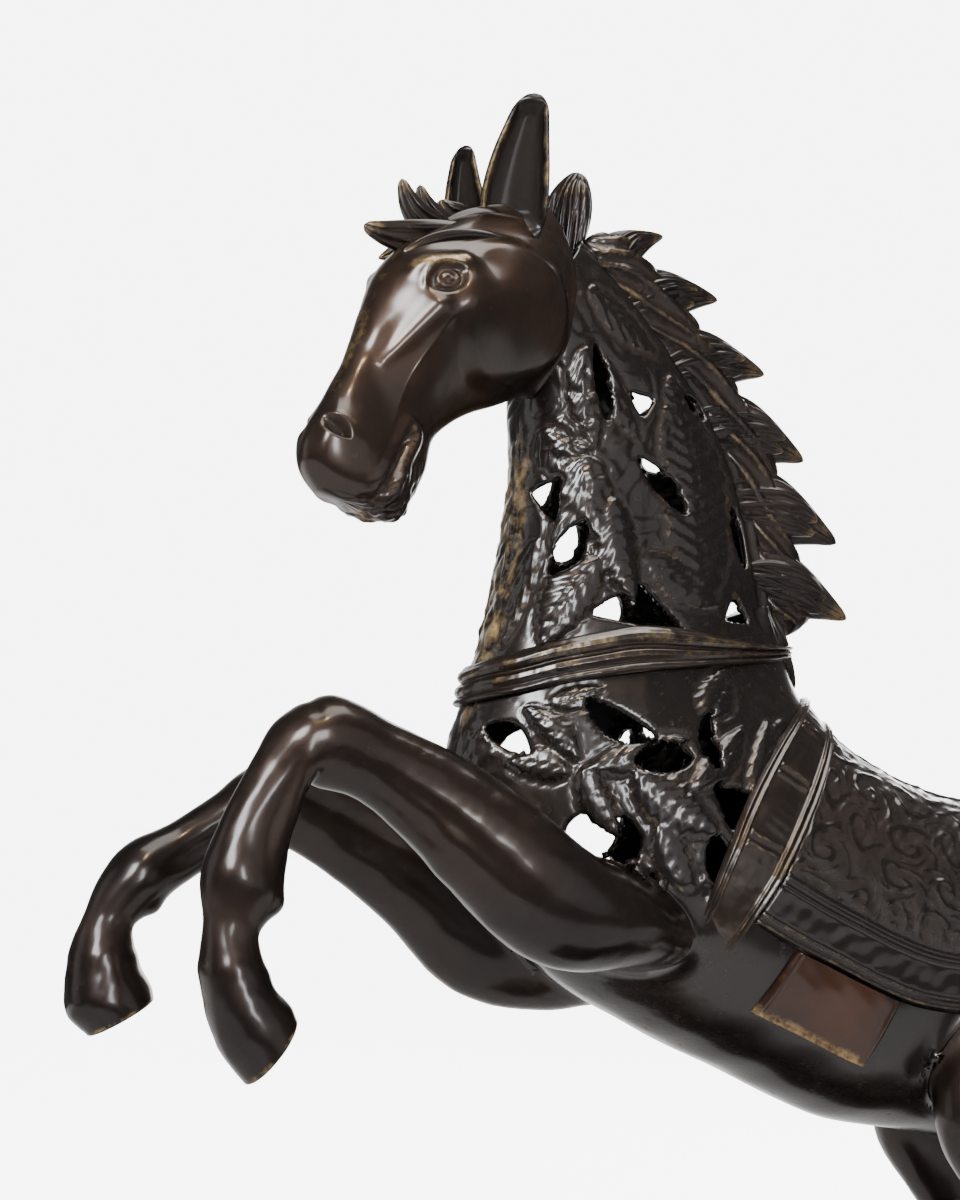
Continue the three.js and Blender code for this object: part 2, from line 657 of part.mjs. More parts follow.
function makeFelt() {
  const outline = roundedRectangle(base.length - 2 * base.edge - 2 * felt.inset,
    base.width - 2 * base.edge - 2 * felt.inset, base.corner - base.edge);
  const geometry = new THREE.ExtrudeGeometry(outline, {
    depth: felt.thickness - gap,
    bevelEnabled: false,
    curveSegments: 5,
  });
  return primitive(geometry);
}

// ---------------------------------------------------------------- assembly

const shells = makeBody();
makeHead(shells);
makeEar('left_ear', new THREE.Vector3(-152, -26, 510), new THREE.Vector3(-146, -33, 568), 10.5);
makeEar('right_ear', new THREE.Vector3(-158, -6, 514), new THREE.Vector3(-160, -2, 553), 7.5);
const collarSlot = makeHair();
let girth = makeTrappings(collarSlot);
makeTail(shells);

const grownBlanket = blanketSlab(-wall, 2.8 + 2 * slipGap, 0.05);
const fore = {
  left: makeLeg('left_foreleg', leftForelegRows, { x: -120, z: 277, nut: 24 }, shells, []),
  right: makeLeg('right_foreleg', rightForelegRows, { x: -112, z: 266, nut: 24 }, shells, []),
};
for (const side of ['left', 'right']) {
  girth = girth.subtract(limb(side === 'left' ? leftForelegRows : rightForelegRows, gap));
  addPiece(`${side}_foreleg`, fore[side], 'bronze');
}
addPiece('girth_band', largest(girth), 'rubbedBronze');

let plinth = makePlinth();
for (const side of ['left', 'right']) {
  const outward = side === 'left' ? -1 : 1;
  const rows = hindLegRows.map(([topX, topZ, bottomX, bottomZ, halfWidth, y, ...rest]) => [
    topX + outward * hindLegShift, topZ, bottomX + outward * hindLegShift, bottomZ, halfWidth,
    outward * y, ...rest,
  ]);
  const leg = makeLeg(`${side}_hind_leg`, rows, { x: 78 + outward * hindLegShift, z: 228, nut: 38 },
    shells, [grownBlanket]);
  plinth = standOn(`${side}_hind`, leg, 60 + outward * hindLegShift, outward * 44, plinth);
}
addPiece('plinth', plinth, 'bronze');
addPiece('plinth_felt', makeFelt(), 'felt');
for (const [name, shell] of Object.entries(shells)) addPiece(name, largest(shell), 'bronze');

export default figure;
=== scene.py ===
import math
import bpy
import numpy as np
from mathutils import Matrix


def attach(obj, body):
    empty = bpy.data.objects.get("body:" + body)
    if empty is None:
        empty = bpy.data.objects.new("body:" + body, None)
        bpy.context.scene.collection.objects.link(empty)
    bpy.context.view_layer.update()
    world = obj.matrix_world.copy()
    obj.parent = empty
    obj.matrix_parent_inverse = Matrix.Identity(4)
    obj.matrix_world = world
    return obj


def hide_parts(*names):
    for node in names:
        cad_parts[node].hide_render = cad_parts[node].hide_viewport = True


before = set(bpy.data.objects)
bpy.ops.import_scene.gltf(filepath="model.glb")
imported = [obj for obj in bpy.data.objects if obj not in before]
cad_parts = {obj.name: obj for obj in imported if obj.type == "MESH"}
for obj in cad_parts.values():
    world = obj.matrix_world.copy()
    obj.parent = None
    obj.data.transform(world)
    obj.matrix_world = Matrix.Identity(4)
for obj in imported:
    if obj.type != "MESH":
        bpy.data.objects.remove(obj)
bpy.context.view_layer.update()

mm = 0.001
turn = 2 * math.pi
wallThickness = 3.0

# A rearing bronze horse. Shapes are worked out in millimetres, as whole arrays, and go into their
# meshes in metres. The horse faces -X and its left side faces -Y.

# surfaces

def rowAt(rows, u):
    # Catmull-Rom blend of a table's rows at the places u, one row of values for each place
    table = np.asarray(rows, float)
    table = np.vstack([2 * table[0] - table[1], table, 2 * table[-1] - table[-2]])
    u = np.clip(np.asarray(u, float), 0, len(rows) - 1)
    i = np.minimum(u.astype(int), len(rows) - 2)
    f = (u - i)[..., None]
    a, b, c, d = (table[i + k] for k in range(4))
    square, cube = 2 * a - 5 * b + 4 * c - d, 3 * b - a - 3 * c + d
    return 0.5 * (2 * b + (c - a) * f + square * f**2 + cube * f**3)


def section(rows, u, t, offset=0.0):
    # point at angle t of an egg-shaped section: cosine across, sine along the line from the bottom
    # point to the top point, with separate heights above and below the widest level
    topX, topZ, lowX, lowZ, half, midY, level, crest, keel = np.moveaxis(rowAt(rows, u), -1, 0)
    height = np.hypot(topX - lowX, topZ - lowZ)
    rise, fall = np.maximum(np.sin(t), 0), np.maximum(-np.sin(t), 0)
    along = level * height + ((1 - level) * height + offset) * rise - (level * height + offset) * fall
    side = (half * (1 - crest * rise - keel * fall) + offset) * np.cos(t)
    return np.stack([lowX + (topX - lowX) / height * along, midY + side,
                     lowZ + (topZ - lowZ) / height * along], -1)


def gridNormals(p):
    # cross product of the two grid directions, turned away from each ring's middle
    du = np.gradient(p, axis=0)
    dv = np.gradient(np.concatenate([p[:, -1:], p, p[:, :1]], 1), axis=1)[:, 1:-1]
    n = np.cross(du, dv)
    n /= np.linalg.norm(n, axis=-1, keepdims=True) + 1e-9
    sign = np.sign(np.sum(n * (p - p.mean(1, keepdims=True)), axis=(1, 2)))
    return n * (np.sign(sign.sum()) or 1.0)


def loftGrid(rows, start, end, rings, around):
    u, t = np.meshgrid(np.linspace(start, end, rings), np.arange(around) * turn / around, indexing="ij")
    return u, t, section(rows, u, t)


def smooth(edge0, edge1, x):
    # a soft step from 0 at the first edge to 1 at the second
    s = np.clip((x - edge0) / (edge1 - edge0), 0, 1)
    return s * s * (3 - 2 * s)


def bump(distance, size):
    # bell curve: 1 where the distance is zero
    return np.exp(-(distance / size)**2)


def waves(p, size, seed):
    # a soft, even, repeatable unevenness: a sum of sines in directions drawn from a fixed seed
    rng = np.random.default_rng(seed)
    total = np.zeros(p.shape[:-1])
    for _ in range(9):
        way = rng.normal(size=3)
        way /= np.linalg.norm(way)
        total += np.sin(p @ way * turn / (size * rng.uniform(0.6, 1.6)) + rng.uniform(0, turn))
    return total / 5


def gridFaces(rings, around):
    # quads between each ring and the next
    i, j = np.meshgrid(np.arange(rings - 1), np.arange(around), indexing="ij")
    here, beside = i * around + j, i * around + (j + 1) % around
    return np.stack([here, beside, beside + around, here + around], -1).reshape(-1, 4)


def closedTube(grid):
    # points and faces of a grid that is closed around, with a fan over each end
    rings, around = grid.shape[:2]
    verts = np.vstack([grid.reshape(-1, 3), grid[0].mean(0), grid[-1].mean(0)])
    j = np.arange(around)
    k = (j + 1) % around
    base, hub = (rings - 1) * around, np.full(around, rings * around)
    return verts, [gridFaces(rings, around), np.stack([hub, k, j], -1),
                   np.stack([hub + 1, base + j, base + k], -1)]


def meshPiece(name, verts, faces, masks=None):
    # faces is a list of index arrays with 3 or 4 corners; the winding is turned outwards by volume
    verts = np.asarray(verts, float).reshape(-1, 3)
    corners = np.vstack([f[:, [0, k, k + 1]] for f in faces for k in range(1, f.shape[1] - 1)])
    a, b, c = (verts[corners[:, k]] - verts.mean(0) for k in range(3))
    if np.sum(a * np.cross(b, c)) < 0:
        faces = [f[:, ::-1] for f in faces]
    loops = np.concatenate([f.ravel() for f in faces]).astype(np.int32)
    sizes = np.concatenate([np.full(len(f), f.shape[1]) for f in faces]).astype(np.int32)
    mesh = bpy.data.meshes.new(name)
    mesh.vertices.add(len(verts))
    mesh.vertices.foreach_set("co", (verts * mm).ravel())
    mesh.loops.add(len(loops))
    mesh.loops.foreach_set("vertex_index", loops)
    mesh.polygons.add(len(sizes))
    mesh.polygons.foreach_set("loop_start", np.concatenate([[0], np.cumsum(sizes)[:-1]]).astype(np.int32))
    mesh.polygons.foreach_set("loop_total", sizes)
    mesh.update(calc_edges=True)
    mesh.shade_smooth()
    for key in ("wear", "recess", "rough"):
        layer = mesh.attributes.new(key, "FLOAT", "POINT")
        values = np.zeros(len(verts))
        if masks and key in masks:
            values[:masks[key].size] = np.clip(masks[key].ravel(), 0, 1)
        layer.data.foreach_set("value", values.astype(np.float32))
    piece = bpy.data.objects.new(name, mesh)
    bpy.context.collection.objects.link(piece)
    return piece


def tubePiece(name, grid, masks=None):
    return meshPiece(name, *closedTube(grid), masks)


def finishPiece(piece, material, slotName, *nodes):
    piece.data.materials.append(material)
    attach(piece, "root")
    if nodes:
        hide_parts(*nodes)
    return piece


def giveWall(piece, rim=True):
    wall = piece.modifiers.new("wall", "SOLIDIFY")
    wall.thickness = wallThickness * mm
    wall.offset = -1
    wall.use_even_offset = False
    wall.use_rim = rim


def thinned(grid, limit):
    step = [max(1, round(n / limit)) for n in grid.shape[:2]]
    return grid[::step[0], ::step[1]]


def samplesOf(grid):
    # thinned points and normals of a grid
    return (thinned(grid, 80).reshape(-1, 3).astype(np.float32),
            thinned(gridNormals(grid), 80).reshape(-1, 3).astype(np.float32))


def planeDistance(points, q, n, size=4.5):
    # distance to a sampled surface: its tangent planes weighted by nearness
    d2 = np.sum(points**2, 1)[:, None] + np.sum(q**2, 1)[None] - 2 * points @ q.T
    w = np.exp((d2.min(1, keepdims=True) - d2) / np.float32(size**2))
    w /= w.sum(1, keepdims=True)
    normal = w @ n
    return np.sum(points * normal, 1) - w @ np.sum(q * n, 1), normal


def nearSamples(samples, low, high, margin):
    inBox = np.all((samples[0] > low - margin) & (samples[0] < high + margin), axis=1)
    return samples[0][inBox], samples[1][inBox]


def meltInto(p, other, reach):
    # smooth union: points near another surface move on to the rounded blend of the two
    own = samplesOf(p)
    flat = p.reshape(-1, 3).astype(np.float32)
    for part in np.array_split(np.arange(len(flat)), max(1, len(flat) // 700)):
        low, high = flat[part].min(0), flat[part].max(0)
        if len(nearSamples(other, low, high, reach)[0]) == 0:
            continue
        theirs, mine = nearSamples(other, low, high, 24), nearSamples(own, low, high, 12)
        for _ in range(2):
            a, na = planeDistance(flat[part], *mine)
            b, nb = planeDistance(flat[part], *theirs)
            blend = np.maximum(reach - np.abs(a - b), 0) / reach
            f = np.minimum(a, b) - blend**2 * reach / 4
            share = np.where(a < b, 1 - blend / 2, blend / 2)[:, None]
            grad = na * share + nb * (1 - share)
            weight = smooth(-reach, 0, b) * (blend > 0)
            flat[part] -= grad * (f * weight)[:, None] / np.maximum(np.sum(grad**2, 1), 0.3)[:, None]
    return flat.reshape(p.shape).astype(float)


# forms: the same sections as the design holds, in millimetres
# top x, top z, bottom x, bottom z, half width, middle y, widest level, crest pinch, keel pinch

bodyRows = [
    [133, 246, 128, 222, 10, 0, 0.5, 0, 0], [128, 268, 116, 196, 33, 0, 0.5, 0.05, 0.1],
    [112, 290, 92, 183, 47, 0, 0.5, 0.05, 0.15], [86, 305, 58, 183, 52, 0, 0.5, 0.08, 0.15],
    [56, 311, 22, 189, 51, 0, 0.48, 0.1, 0.1], [24, 317, -18, 195, 51, 0, 0.46, 0.12, 0.1],
    [-3, 329, -56, 211, 51, 0, 0.45, 0.18, 0.1], [-17, 340, -95, 228, 50, 0, 0.45, 0.25, 0.1],
    [-25, 350, -132, 250, 49, 0, 0.45, 0.3, 0.1], [-29, 358, -158, 285, 45, 0, 0.45, 0.3, 0.1],
    [-31, 366, -167, 320, 39, 0, 0.45, 0.3, 0.1], [-33, 376, -160, 348, 33, 0, 0.45, 0.3, 0],
    [-37, 395, -151, 376, 28, 0, 0.45, 0.3, -0.3], [-43, 422, -145, 405, 25, 0, 0.45, 0.25, -0.45],
    [-55, 453, -142, 430, 22.5, -1, 0.45, 0.25, -0.45], [-77, 483, -142, 450, 21, -2, 0.45, 0.2, -0.45],
    [-100, 506, -143, 468, 20, -4, 0.45, 0.15, -0.4], [-118, 520, -146, 482, 17, -6, 0.45, 0.1, -0.3]]
headRows = [
    [-137, 528, -129, 494, 12, -6, 0.5, 0.1, 0], [-152, 526, -130, 480, 17, -6, 0.5, 0.15, 0.1],
    [-172, 520, -134, 464, 21, -6, 0.5, 0.2, 0.25], [-193, 510, -154, 453, 23.5, -6, 0.55, 0.15, 0.4],
    [-210, 496, -172, 446, 24, -6, 0.62, 0.15, 0.5], [-220, 478, -184, 439, 19, -6, 0.6, 0.2, 0.45],
    [-228, 460, -191, 432, 14.5, -6, 0.58, 0.15, 0.35], [-238, 443, -195, 420, 13, -6, 0.55, 0.1, 0.25],
    [-246, 430, -203, 408, 14, -6, 0.55, 0.1, 0.2], [-248, 419, -212, 403, 12.5, -6, 0.5, 0.1, 0.1],
    [-241, 409, -224, 404, 8, -6, 0.5, 0, 0]]
poll = np.array([-120.0, -6.0])
headTurn = math.radians(20)


def roundRows(rows):
    # sections that are widest at half their height, and not pinched
    return [row + [0.5, 0, 0] for row in rows]


def mirrored(p):
    # the left side's equivalent of each point
    return np.stack([p[..., 0], -np.abs(p[..., 1]), p[..., 2]], -1)


def skinFrame(u, degrees):
    # a point of the body's skin with its outward, lengthwise and round-the-section directions
    t = math.radians(degrees)
    p = section(bodyRows, u, t)
    forward = section(bodyRows, u + 0.01, t) - p
    forward /= np.linalg.norm(forward)
    out = section(bodyRows, u, t, 1.0) - p
    across = section(bodyRows, u, t + 0.01) - p
    across -= forward * (across @ forward)
    across /= np.linalg.norm(across)
    normal = np.cross(forward, across)
    normal *= np.sign(normal @ out)
    return p, normal, forward, across


# openings pierced between the cast leaves

openings = {
    "roll": 1.2,         # how far the edge rolls in
    # place along the body, degrees round it, length, width, slant, bow, kind; on both flanks
    "both": [
        (14.95, 188, 30, 6.5, -14, 0, "almond"), (14.3, 133, 11, 7.5, 25, 0, "oval"),
        (13.38, 171, 29, 8, 36, 1, "almond"), (12.65, 131, 26, 5, 4, -1, "almond"),
        (9.95, 189, 30, 9.5, 52, -3.5, "almond"), (8.98, 163, 26, 6.5, -27, -3, "almond"),
        (7.72, 186, 20, 9, -45, 0, "almond"), (8.05, 206, 10, 5, -40, 0, "almond")],
    "left": [
        (14.5, 168, 13, 11, 30, 0, "triangle"), (13.45, 236, 20, 14, 200, 0, "triangle"),
        (12.7, 222, 23, 10, -28, 1, "almond"), (11.74, 184, 20, 44, 0, 0, "triangle"),
        (11.5, 141, 12, 13, 0, 0, "triangle"), (10.15, 232, 20, 9, 60, 1.5, "almond"),
        (9.15, 180, 24, 12, 75, 1.5, "almond"), (8.68, 210, 27, 21, 45, 0, "oval"),
        (8.1, 170, 21, 17, 130, 0, "triangle")],
    "right": [
        (13.78, -30, 14, 11, 20, 0, "oval"), (13.04, -13, 17, 10, 0, 0, "oval"),
        (14.59, 38, 14, 13, 0, 0, "triangle"), (13.87, 31, 9, 8, 0, 0, "oval"),
        (11.97, 7, 16, 11, 0, 0, "oval"), (11.53, 60, 14, 12, 0, 0, "oval"),
        (10.02, -21, 15, 9, 60, 0, "almond"), (9.47, 28, 13, 8, 40, 0, "almond"),
        (8.33, 0, 30, 19, 70, 0, "oval")],
}


def openingShape(kind, a, b, l, w):
    # signed distance, below zero inside: two arcs, an ellipse, or three sides
    if kind == "almond":
        radius = (l * l + w * w) / (2 * w)
        return np.sqrt(a * a + (np.abs(b) + radius - w)**2) - radius
    if kind == "oval":
        return (np.sqrt((a / l)**2 + (b / w)**2) - 1) * min(l, w)
    sides = [math.cos(k) * a / l + math.sin(k) * b / w for k in (math.pi, math.pi / 3, -math.pi / 3)]
    soft = np.log(sum(np.exp(9 * (s - 0.55)) for s in sides)) / 9
    return soft * min(l, w)


def openingField(p, stay):
    # nearest opening's signed distance at each point, and the direction in which it grows
    q = mirrored(p)
    best = np.full(p.shape[:-1], 50.0)
    way = np.zeros(p.shape)
    flip = np.ones(p.shape)
    flip[..., 1] = np.where(p[..., 1] > 0, -1, 1)
    one = np.ones(p.shape)
    cuts = [(q, flip, stay, item) for item in openings["both"]]
    cuts += [(p, one, stay, item) for item in openings["left"]]
    cuts += [(p, one, 50.0, item) for item in openings["right"]]
    for points, turnBack, solid, (u, degrees, length, width, slant, bow, kind) in cuts:
        centre, normal, forward, across = skinFrame(u, degrees)
        c, s = math.cos(math.radians(slant)), math.sin(math.radians(slant))
        e1, e2 = forward * c + across * s, across * c - forward * s
        rel = points - centre
        a, b, deep = rel @ e1, rel @ e2, rel @ normal

        def shape(a, b):
            l, w = length / 2, width / 2
            return openingShape(kind, a, b + bow * (1 - (a / l)**2), l, w)

        d = np.maximum(shape(a, b), -solid)
        d = np.where(np.abs(deep) > 16, 50.0, d)
        ga = shape(a + 0.2, b) - shape(a - 0.2, b)
        gb = shape(a, b + 0.2) - shape(a, b - 0.2)
        grow = (ga[..., None] * e1 + gb[..., None] * e2) / 0.4 * turnBack
        nearer = d < best
        best = np.where(nearer, d, best)
        way = np.where(nearer[..., None], grow, way)
    return best, way


# cast leaves

leaves = {
    "veinDepth": 0.05,   # of the leaf's height
    # foot (place, degrees), tip (place, degrees), width, height, veins, stays solid over an opening
    "list": [
        ((11.7, 158), (14.75, 140), 34, 1.5, 16, 0), ((13.3, 199), (11.78, 187), 17, 3.4, 12, 1),
        ((13.95, 211), (12.75, 206), 20, 2.8, 4, 0), ((12.5, 205), (11.4, 226), 19, 2.4, 11, 0),
        ((13.5, 216), (12.4, 226), 12, 2.0, 7, 0), ((12.5, 182), (11.65, 150), 17, 1.6, 9, 0),
        ((15.3, 180), (14.0, 178), 12, 1.6, 6, 0), ((13.8, 168), (14.6, 142), 9, 1.4, 6, 0),
        ((14.6, 240), (13.6, 216), 15, 1.6, 7, 0), ((15.6, 190), (14.0, 205), 14, 1.8, 7, 0),
        ((12.9, 240), (11.5, 250), 12, 1.2, 8, 0), ((16.4, 160), (15.0, 140), 14, 1.2, 8, 0),
        ((9.45, 205), (9.25, 171), 12, 2.6, 12, 0), ((9.5, 206), (8.58, 205), 12, 3.0, 9, 1),
        ((9.2, 191), (7.95, 180), 19, 2.6, 13, 0), ((8.5, 193), (7.7, 199), 14, 2.4, 8, 0),
        ((8.6, 177), (8.9, 152), 12, 2.2, 8, 0), ((9.6, 206), (10.55, 226), 11, 2.2, 8, 0),
        ((9.5, 210), (9.85, 232), 12, 1.8, 8, 0), ((8.4, 203), (7.9, 214), 10, 1.8, 7, 0),
        ((9.5, 163), (10.3, 150), 15, 1.8, 9, 0), ((9.8, 243), (9.2, 256), 14, 1.8, 8, 0),
        ((10.5, 215), (10.55, 196), 9, 1.2, 6, 0), ((7.9, 165), (8.7, 140), 11, 1.8, 8, 0)],
    # rough, pitted places left from the casting: place, degrees, radius
    "rough": [(13.75, 206, 14), (14.3, 214, 11), (14.2, 195, 8), (10.0, 245, 12), (8.6, 138, 11),
              (7.6, 195, 10), (14.9, 203, 8), (9.4, 200, 6)],
}


def leafRelief(p):
    # each leaf is a pointed, domed blade with a midrib and slanting veins; the highest one shows
    q = mirrored(p)
    height, wear = np.zeros(p.shape[:-1]), np.zeros(p.shape[:-1])
    groove, stay = np.zeros(p.shape[:-1]), np.full(p.shape[:-1], 50.0)
    for foot, tip, width, rise, veins, solid in leaves["list"]:
        start, end = skinFrame(*foot)[0], skinFrame(*tip)[0]
        middle, normal, _, _ = skinFrame((foot[0] + tip[0]) / 2, (foot[1] + tip[1]) / 2)
        length = np.linalg.norm(end - start)
        e1 = (end - start) / length
        e2 = np.cross(normal, e1)
        e2 /= np.linalg.norm(e2)
        rel = q - start
        a, b = rel @ e1 / length, rel @ e2
        b = b + 0.12 * width * np.sin(math.pi * a)
        inRange = (a > 0) & (a < 1) & (np.abs((q - middle) @ normal) < 15)
        a = np.clip(a, 0, 1)
        half = width / 2 * (np.sin(math.pi * a**0.8)**0.7) * (1 + 0.07 * np.sin(turn * a * veins * 0.7))
        edge = np.abs(b) - np.maximum(half, 0.05)
        share = np.clip(-edge / np.maximum(half, 0.5), 0, 1)
        dome = rise * (0.75 * share**0.35 + 0.25 * share)
        rib = bump(b, 0.7) * (0.35 + rise * 0.12)
        wide = width > 30
        slanted = a * veins * (1 if wide else 0.62) - np.abs(b) / width * 3.2 + 0.1 * np.sin(a * 33 + b)
        vein = np.abs(np.sin(math.pi * slanted))**0.5 * 2 - 1.4
        cut = (0.24 + rise * leaves["veinDepth"]) * smooth(0, 0.15, share) * (1.6 if wide else 1)
        relief = np.where(inRange & (edge < 0), dome - rib + vein * cut, 0)
        over = relief > height
        rubbed = np.clip(bump(share - 0.12, 0.1) * 0.45 + 0.3 * np.maximum(vein, 0) * share, 0, 1)
        wear = np.where(over, rubbed, wear)
        height = np.where(over, relief, height)
        groove = np.maximum(groove, np.where(inRange, bump(edge - 0.6, 1.1), 0))
        if solid:
            stay = np.where(inRange, np.minimum(stay, edge), stay)
    rough = np.zeros(p.shape[:-1])
    for u, degrees, radius in leaves["rough"]:
        rough = np.maximum(rough, bump(np.linalg.norm(q - skinFrame(u, degrees)[0], axis=-1), radius))
    return height, wear, groove * (height < 0.4), stay, rough


def bodyGrid(start, end, rings, around, leafy):
    u, t, p = loftGrid(bodyRows, start, end, rings, around)
    normal = gridNormals(p)
    q = mirrored(p)
    masks = {"wear": np.zeros(u.shape), "recess": np.zeros(u.shape), "rough": np.zeros(u.shape)}
    h = 0.25 * waves(p, 26, 4)
    stay = np.full(u.shape, 50.0)
    if leafy:
        relief, wear, groove, stay, rough = leafRelief(p)
        nearSeam = smooth(6.62, 6.95, u)
        relief, wear, groove, rough = (k * nearSeam for k in (relief, wear, groove, rough))
        lumps = np.maximum(waves(p, 9, 8), -0.8) * 0.9 + waves(p, 3.4, 9) * 0.25
        pits = np.maximum(waves(p, 4.2, 12) - 0.6, 0) * 1.6
        swirl = np.abs(np.sin(waves(p, 34, 13) * 7))**0.6 * (relief < 0.05) * smooth(11.3, 12, u)
        h = h + relief - 0.5 * groove + rough * lumps - pits * (0.15 * nearSeam + rough) + 0.45 * swirl
        # the dark trench along the foot of the mane
        trench = bump(np.abs(np.degrees(t) - 90) - 29 - 5 * (u < 11.6), 5)
        trench = trench * smooth(10.9, 11.6, u) * smooth(17, 16, u)
        h = h - 2.2 * trench
        masks["wear"] = wear * 0.8
        masks["recess"] = np.maximum(np.maximum(groove * 0.8, pits * 0.5), trench)
        masks["rough"] = rough
    # the mould seam down the front of the neck and breast
    seamAt = np.abs(np.degrees(t) - 262)
    h = h - 0.8 * smooth(6.58, 6.42, u) * leafy
    onNeck = smooth(9.8, 11.2, u) * smooth(15.5, 13.8, u)
    h = h + 1.2 * bump(seamAt, 2.2) * onNeck
    front = smooth(244, 258, np.degrees(t)) * smooth(296, 282, np.degrees(t)) * onNeck
    h = h + front * 0.5 * waves(p, 5, 14)
    masks["wear"] = np.maximum(masks["wear"], np.maximum(bump(seamAt, 2.6), 0.8 * front) * onNeck)
    # ribs, flank and shoulder as soft swellings and hollows of the trunk
    flank = bump(np.linalg.norm((q - [28, -50, 232]) / [22, 40, 26], axis=-1), 1)
    shoulder = bump(np.linalg.norm((q - [-92, -48, 262]) / [34, 40, 18], axis=-1), 1)
    h = h - 3.0 * flank + 1.5 * shoulder
    return p + normal * h[..., None], masks, stay


def piercedPiece(name, start, end, rings, around, nodes):
    # the grid with its openings cut out, edges drawn to the outline and rolled inwards
    p, masks, stay = bodyGrid(start, end, rings, around, True)
    if start < 8:
        for limb in ("leftFore", "rightFore"):
            p = meltInto(p, limbSamples[limb], 9)
    d, way = openingField(p, stay)
    faces = gridFaces(rings, around)
    flatD = d.ravel()
    kept = flatD[faces].mean(1) > 0
    used, cut = np.zeros(flatD.size, bool), np.zeros(flatD.size, bool)
    used[faces[kept]] = True
    cut[faces[~kept]] = True
    rim = used & cut
    normal = gridNormals(p).reshape(-1, 3)
    flat = p.reshape(-1, 3).copy()
    growth = way.reshape(-1, 3)
    growth = growth / np.maximum(np.sum(growth**2, 1, keepdims=True), 0.2)
    step = np.clip(flatD, -1.5, 1.5)[:, None] * growth
    flat[rim] -= step[rim]
    roll = openings["roll"]
    close = np.clip(np.where(rim, 0, flatD), 0, roll)
    flat -= normal * (roll - np.sqrt(roll**2 - (roll - close)**2))[:, None]
    masks["wear"] = np.maximum(masks["wear"], 0.35 * bump(d - 0.8, 0.9) * smooth(0, 0.6, waves(p, 30, 3)))
    index = np.full(flatD.size, -1)
    index[used] = np.arange(used.sum())
    masks = {key: value.ravel()[used] for key, value in masks.items()}
    piece = meshPiece(name, flat[used], [index[faces[kept]]], masks)
    giveWall(piece)
    return finishPiece(piece, bodyBronze, "dark_bronze", *nodes)


# limbs

leftForelegRows = roundRows([
    [-90, 270, -88, 250, 14, -28], [-113, 279, -113, 247, 22, -38], [-133, 287, -142, 246, 24, -44],
    [-152, 300, -164, 255, 22, -46], [-168, 311, -185, 274, 18.5, -46],
    [-184, 320, -200, 289, 15.5, -46], [-203, 328, -217, 302, 13.5, -46],
    [-228, 338, -234, 306, 14, -46], [-246, 330, -238, 303, 12.5, -46], [-255, 317, -241, 295, 10, -46],
    [-264, 300, -244, 285, 9.5, -46], [-273, 279, -246, 268, 11.5, -46],
    [-273, 260, -253, 255, 9.5, -46], [-273, 240, -249, 240, 13, -46],
    [-267, 220, -243, 233, 15.5, -46], [-257, 207, -241, 229, 15.5, -46]])
rightForelegRows = roundRows([
    [-76, 284, -76, 244, 18, 24], [-102, 289, -108, 234, 26, 42], [-122, 296, -146, 241, 22, 46],
    [-150, 307, -176, 268, 17, 46], [-182, 318, -204, 288, 13.5, 46], [-212, 330, -224, 296, 14, 46],
    [-230, 321, -231, 291, 12.5, 46], [-242, 311, -238, 287, 10, 46], [-257, 301, -248, 282, 9.5, 46],
    [-277, 290, -262, 271, 11.5, 46], [-290, 267, -271, 262, 9.5, 46], [-295, 248, -269, 250, 13, 46],
    [-295, 232, -265, 242, 15.5, 46], [-287, 224, -264, 238, 15.5, 46]])
hindLegRows = roundRows([
    [52, 268, 118, 250, 20, 20], [30, 232, 124, 216, 26, 38], [20, 194, 104, 176, 23, 44],
    [42, 156, 96, 147, 16, 44], [70, 130, 102, 134, 11.5, 44], [84, 112, 113, 121, 12, 44],
    [82, 97, 109, 100, 10.5, 44], [70, 74, 89, 78, 9, 44], [59, 51, 84, 53, 11.5, 44],
    [53, 42, 73, 40, 9.5, 44], [47, 35, 75, 32, 13, 44], [40, 20.3, 76, 20.3, 16, 44]])


def hindRows(outward):
    # the left hind leg stands 12 mm forward and the right one 12 mm back
    rows = np.array(hindLegRows, float)
    rows[:, [0, 2]] += 12 * outward
    rows[:, 5] *= outward
    return rows


def turnedHead(p):
    # about the poll, towards the horse's left
    rel = p[..., :2] - poll
    c, s = math.cos(headTurn), math.sin(headTurn)
    x = poll[0] + c * rel[..., 0] - s * rel[..., 1]
    y = poll[1] + s * rel[..., 0] + c * rel[..., 1]
    return np.stack([x, y, p[..., 2]], -1)


limbRows = {"leftFore": leftForelegRows, "rightFore": rightForelegRows,
            "leftHind": hindRows(-1), "rightHind": hindRows(1)}
limbSamples = {key: samplesOf(loftGrid(rows, 0, len(rows) - 1, 80, 44)[2])
               for key, rows in limbRows.items()}
bodySamples = samplesOf(loftGrid(bodyRows, 0, 17, 150, 80)[2])
headSamples = samplesOf(turnedHead(loftGrid(headRows, 0, 10, 70, 50)[2]))

legForm = {
    "around": 96, "rings": 230,
    "tendon": 0.8,       # depth of the groove beside the cannon bone
    "joint": 1.1,        # how far the knee's and fetlock's knobs stand out
    "hoofEdge": 0.3,     # coronet ridge
}


def soleRings(grid, hollow):
    # extra rings that turn over the hoof's edge and run in to the middle of the sole
    last, middle = grid[-1], grid[-1].mean(0)
    along = grid[-1].mean(0) - grid[-3].mean(0)
    along /= np.linalg.norm(along)
    # share of the way out from the middle, and how far the ring stands out
    steps = [(0.985, 0.5), (0.95, 0.8), (0.86, 0.9), (0.8, -hollow), (0.45, -1.2 * hollow), (0.12, -hollow)]
    return np.concatenate([grid, [middle + (last - middle) * share + along * out for share, out in steps]])


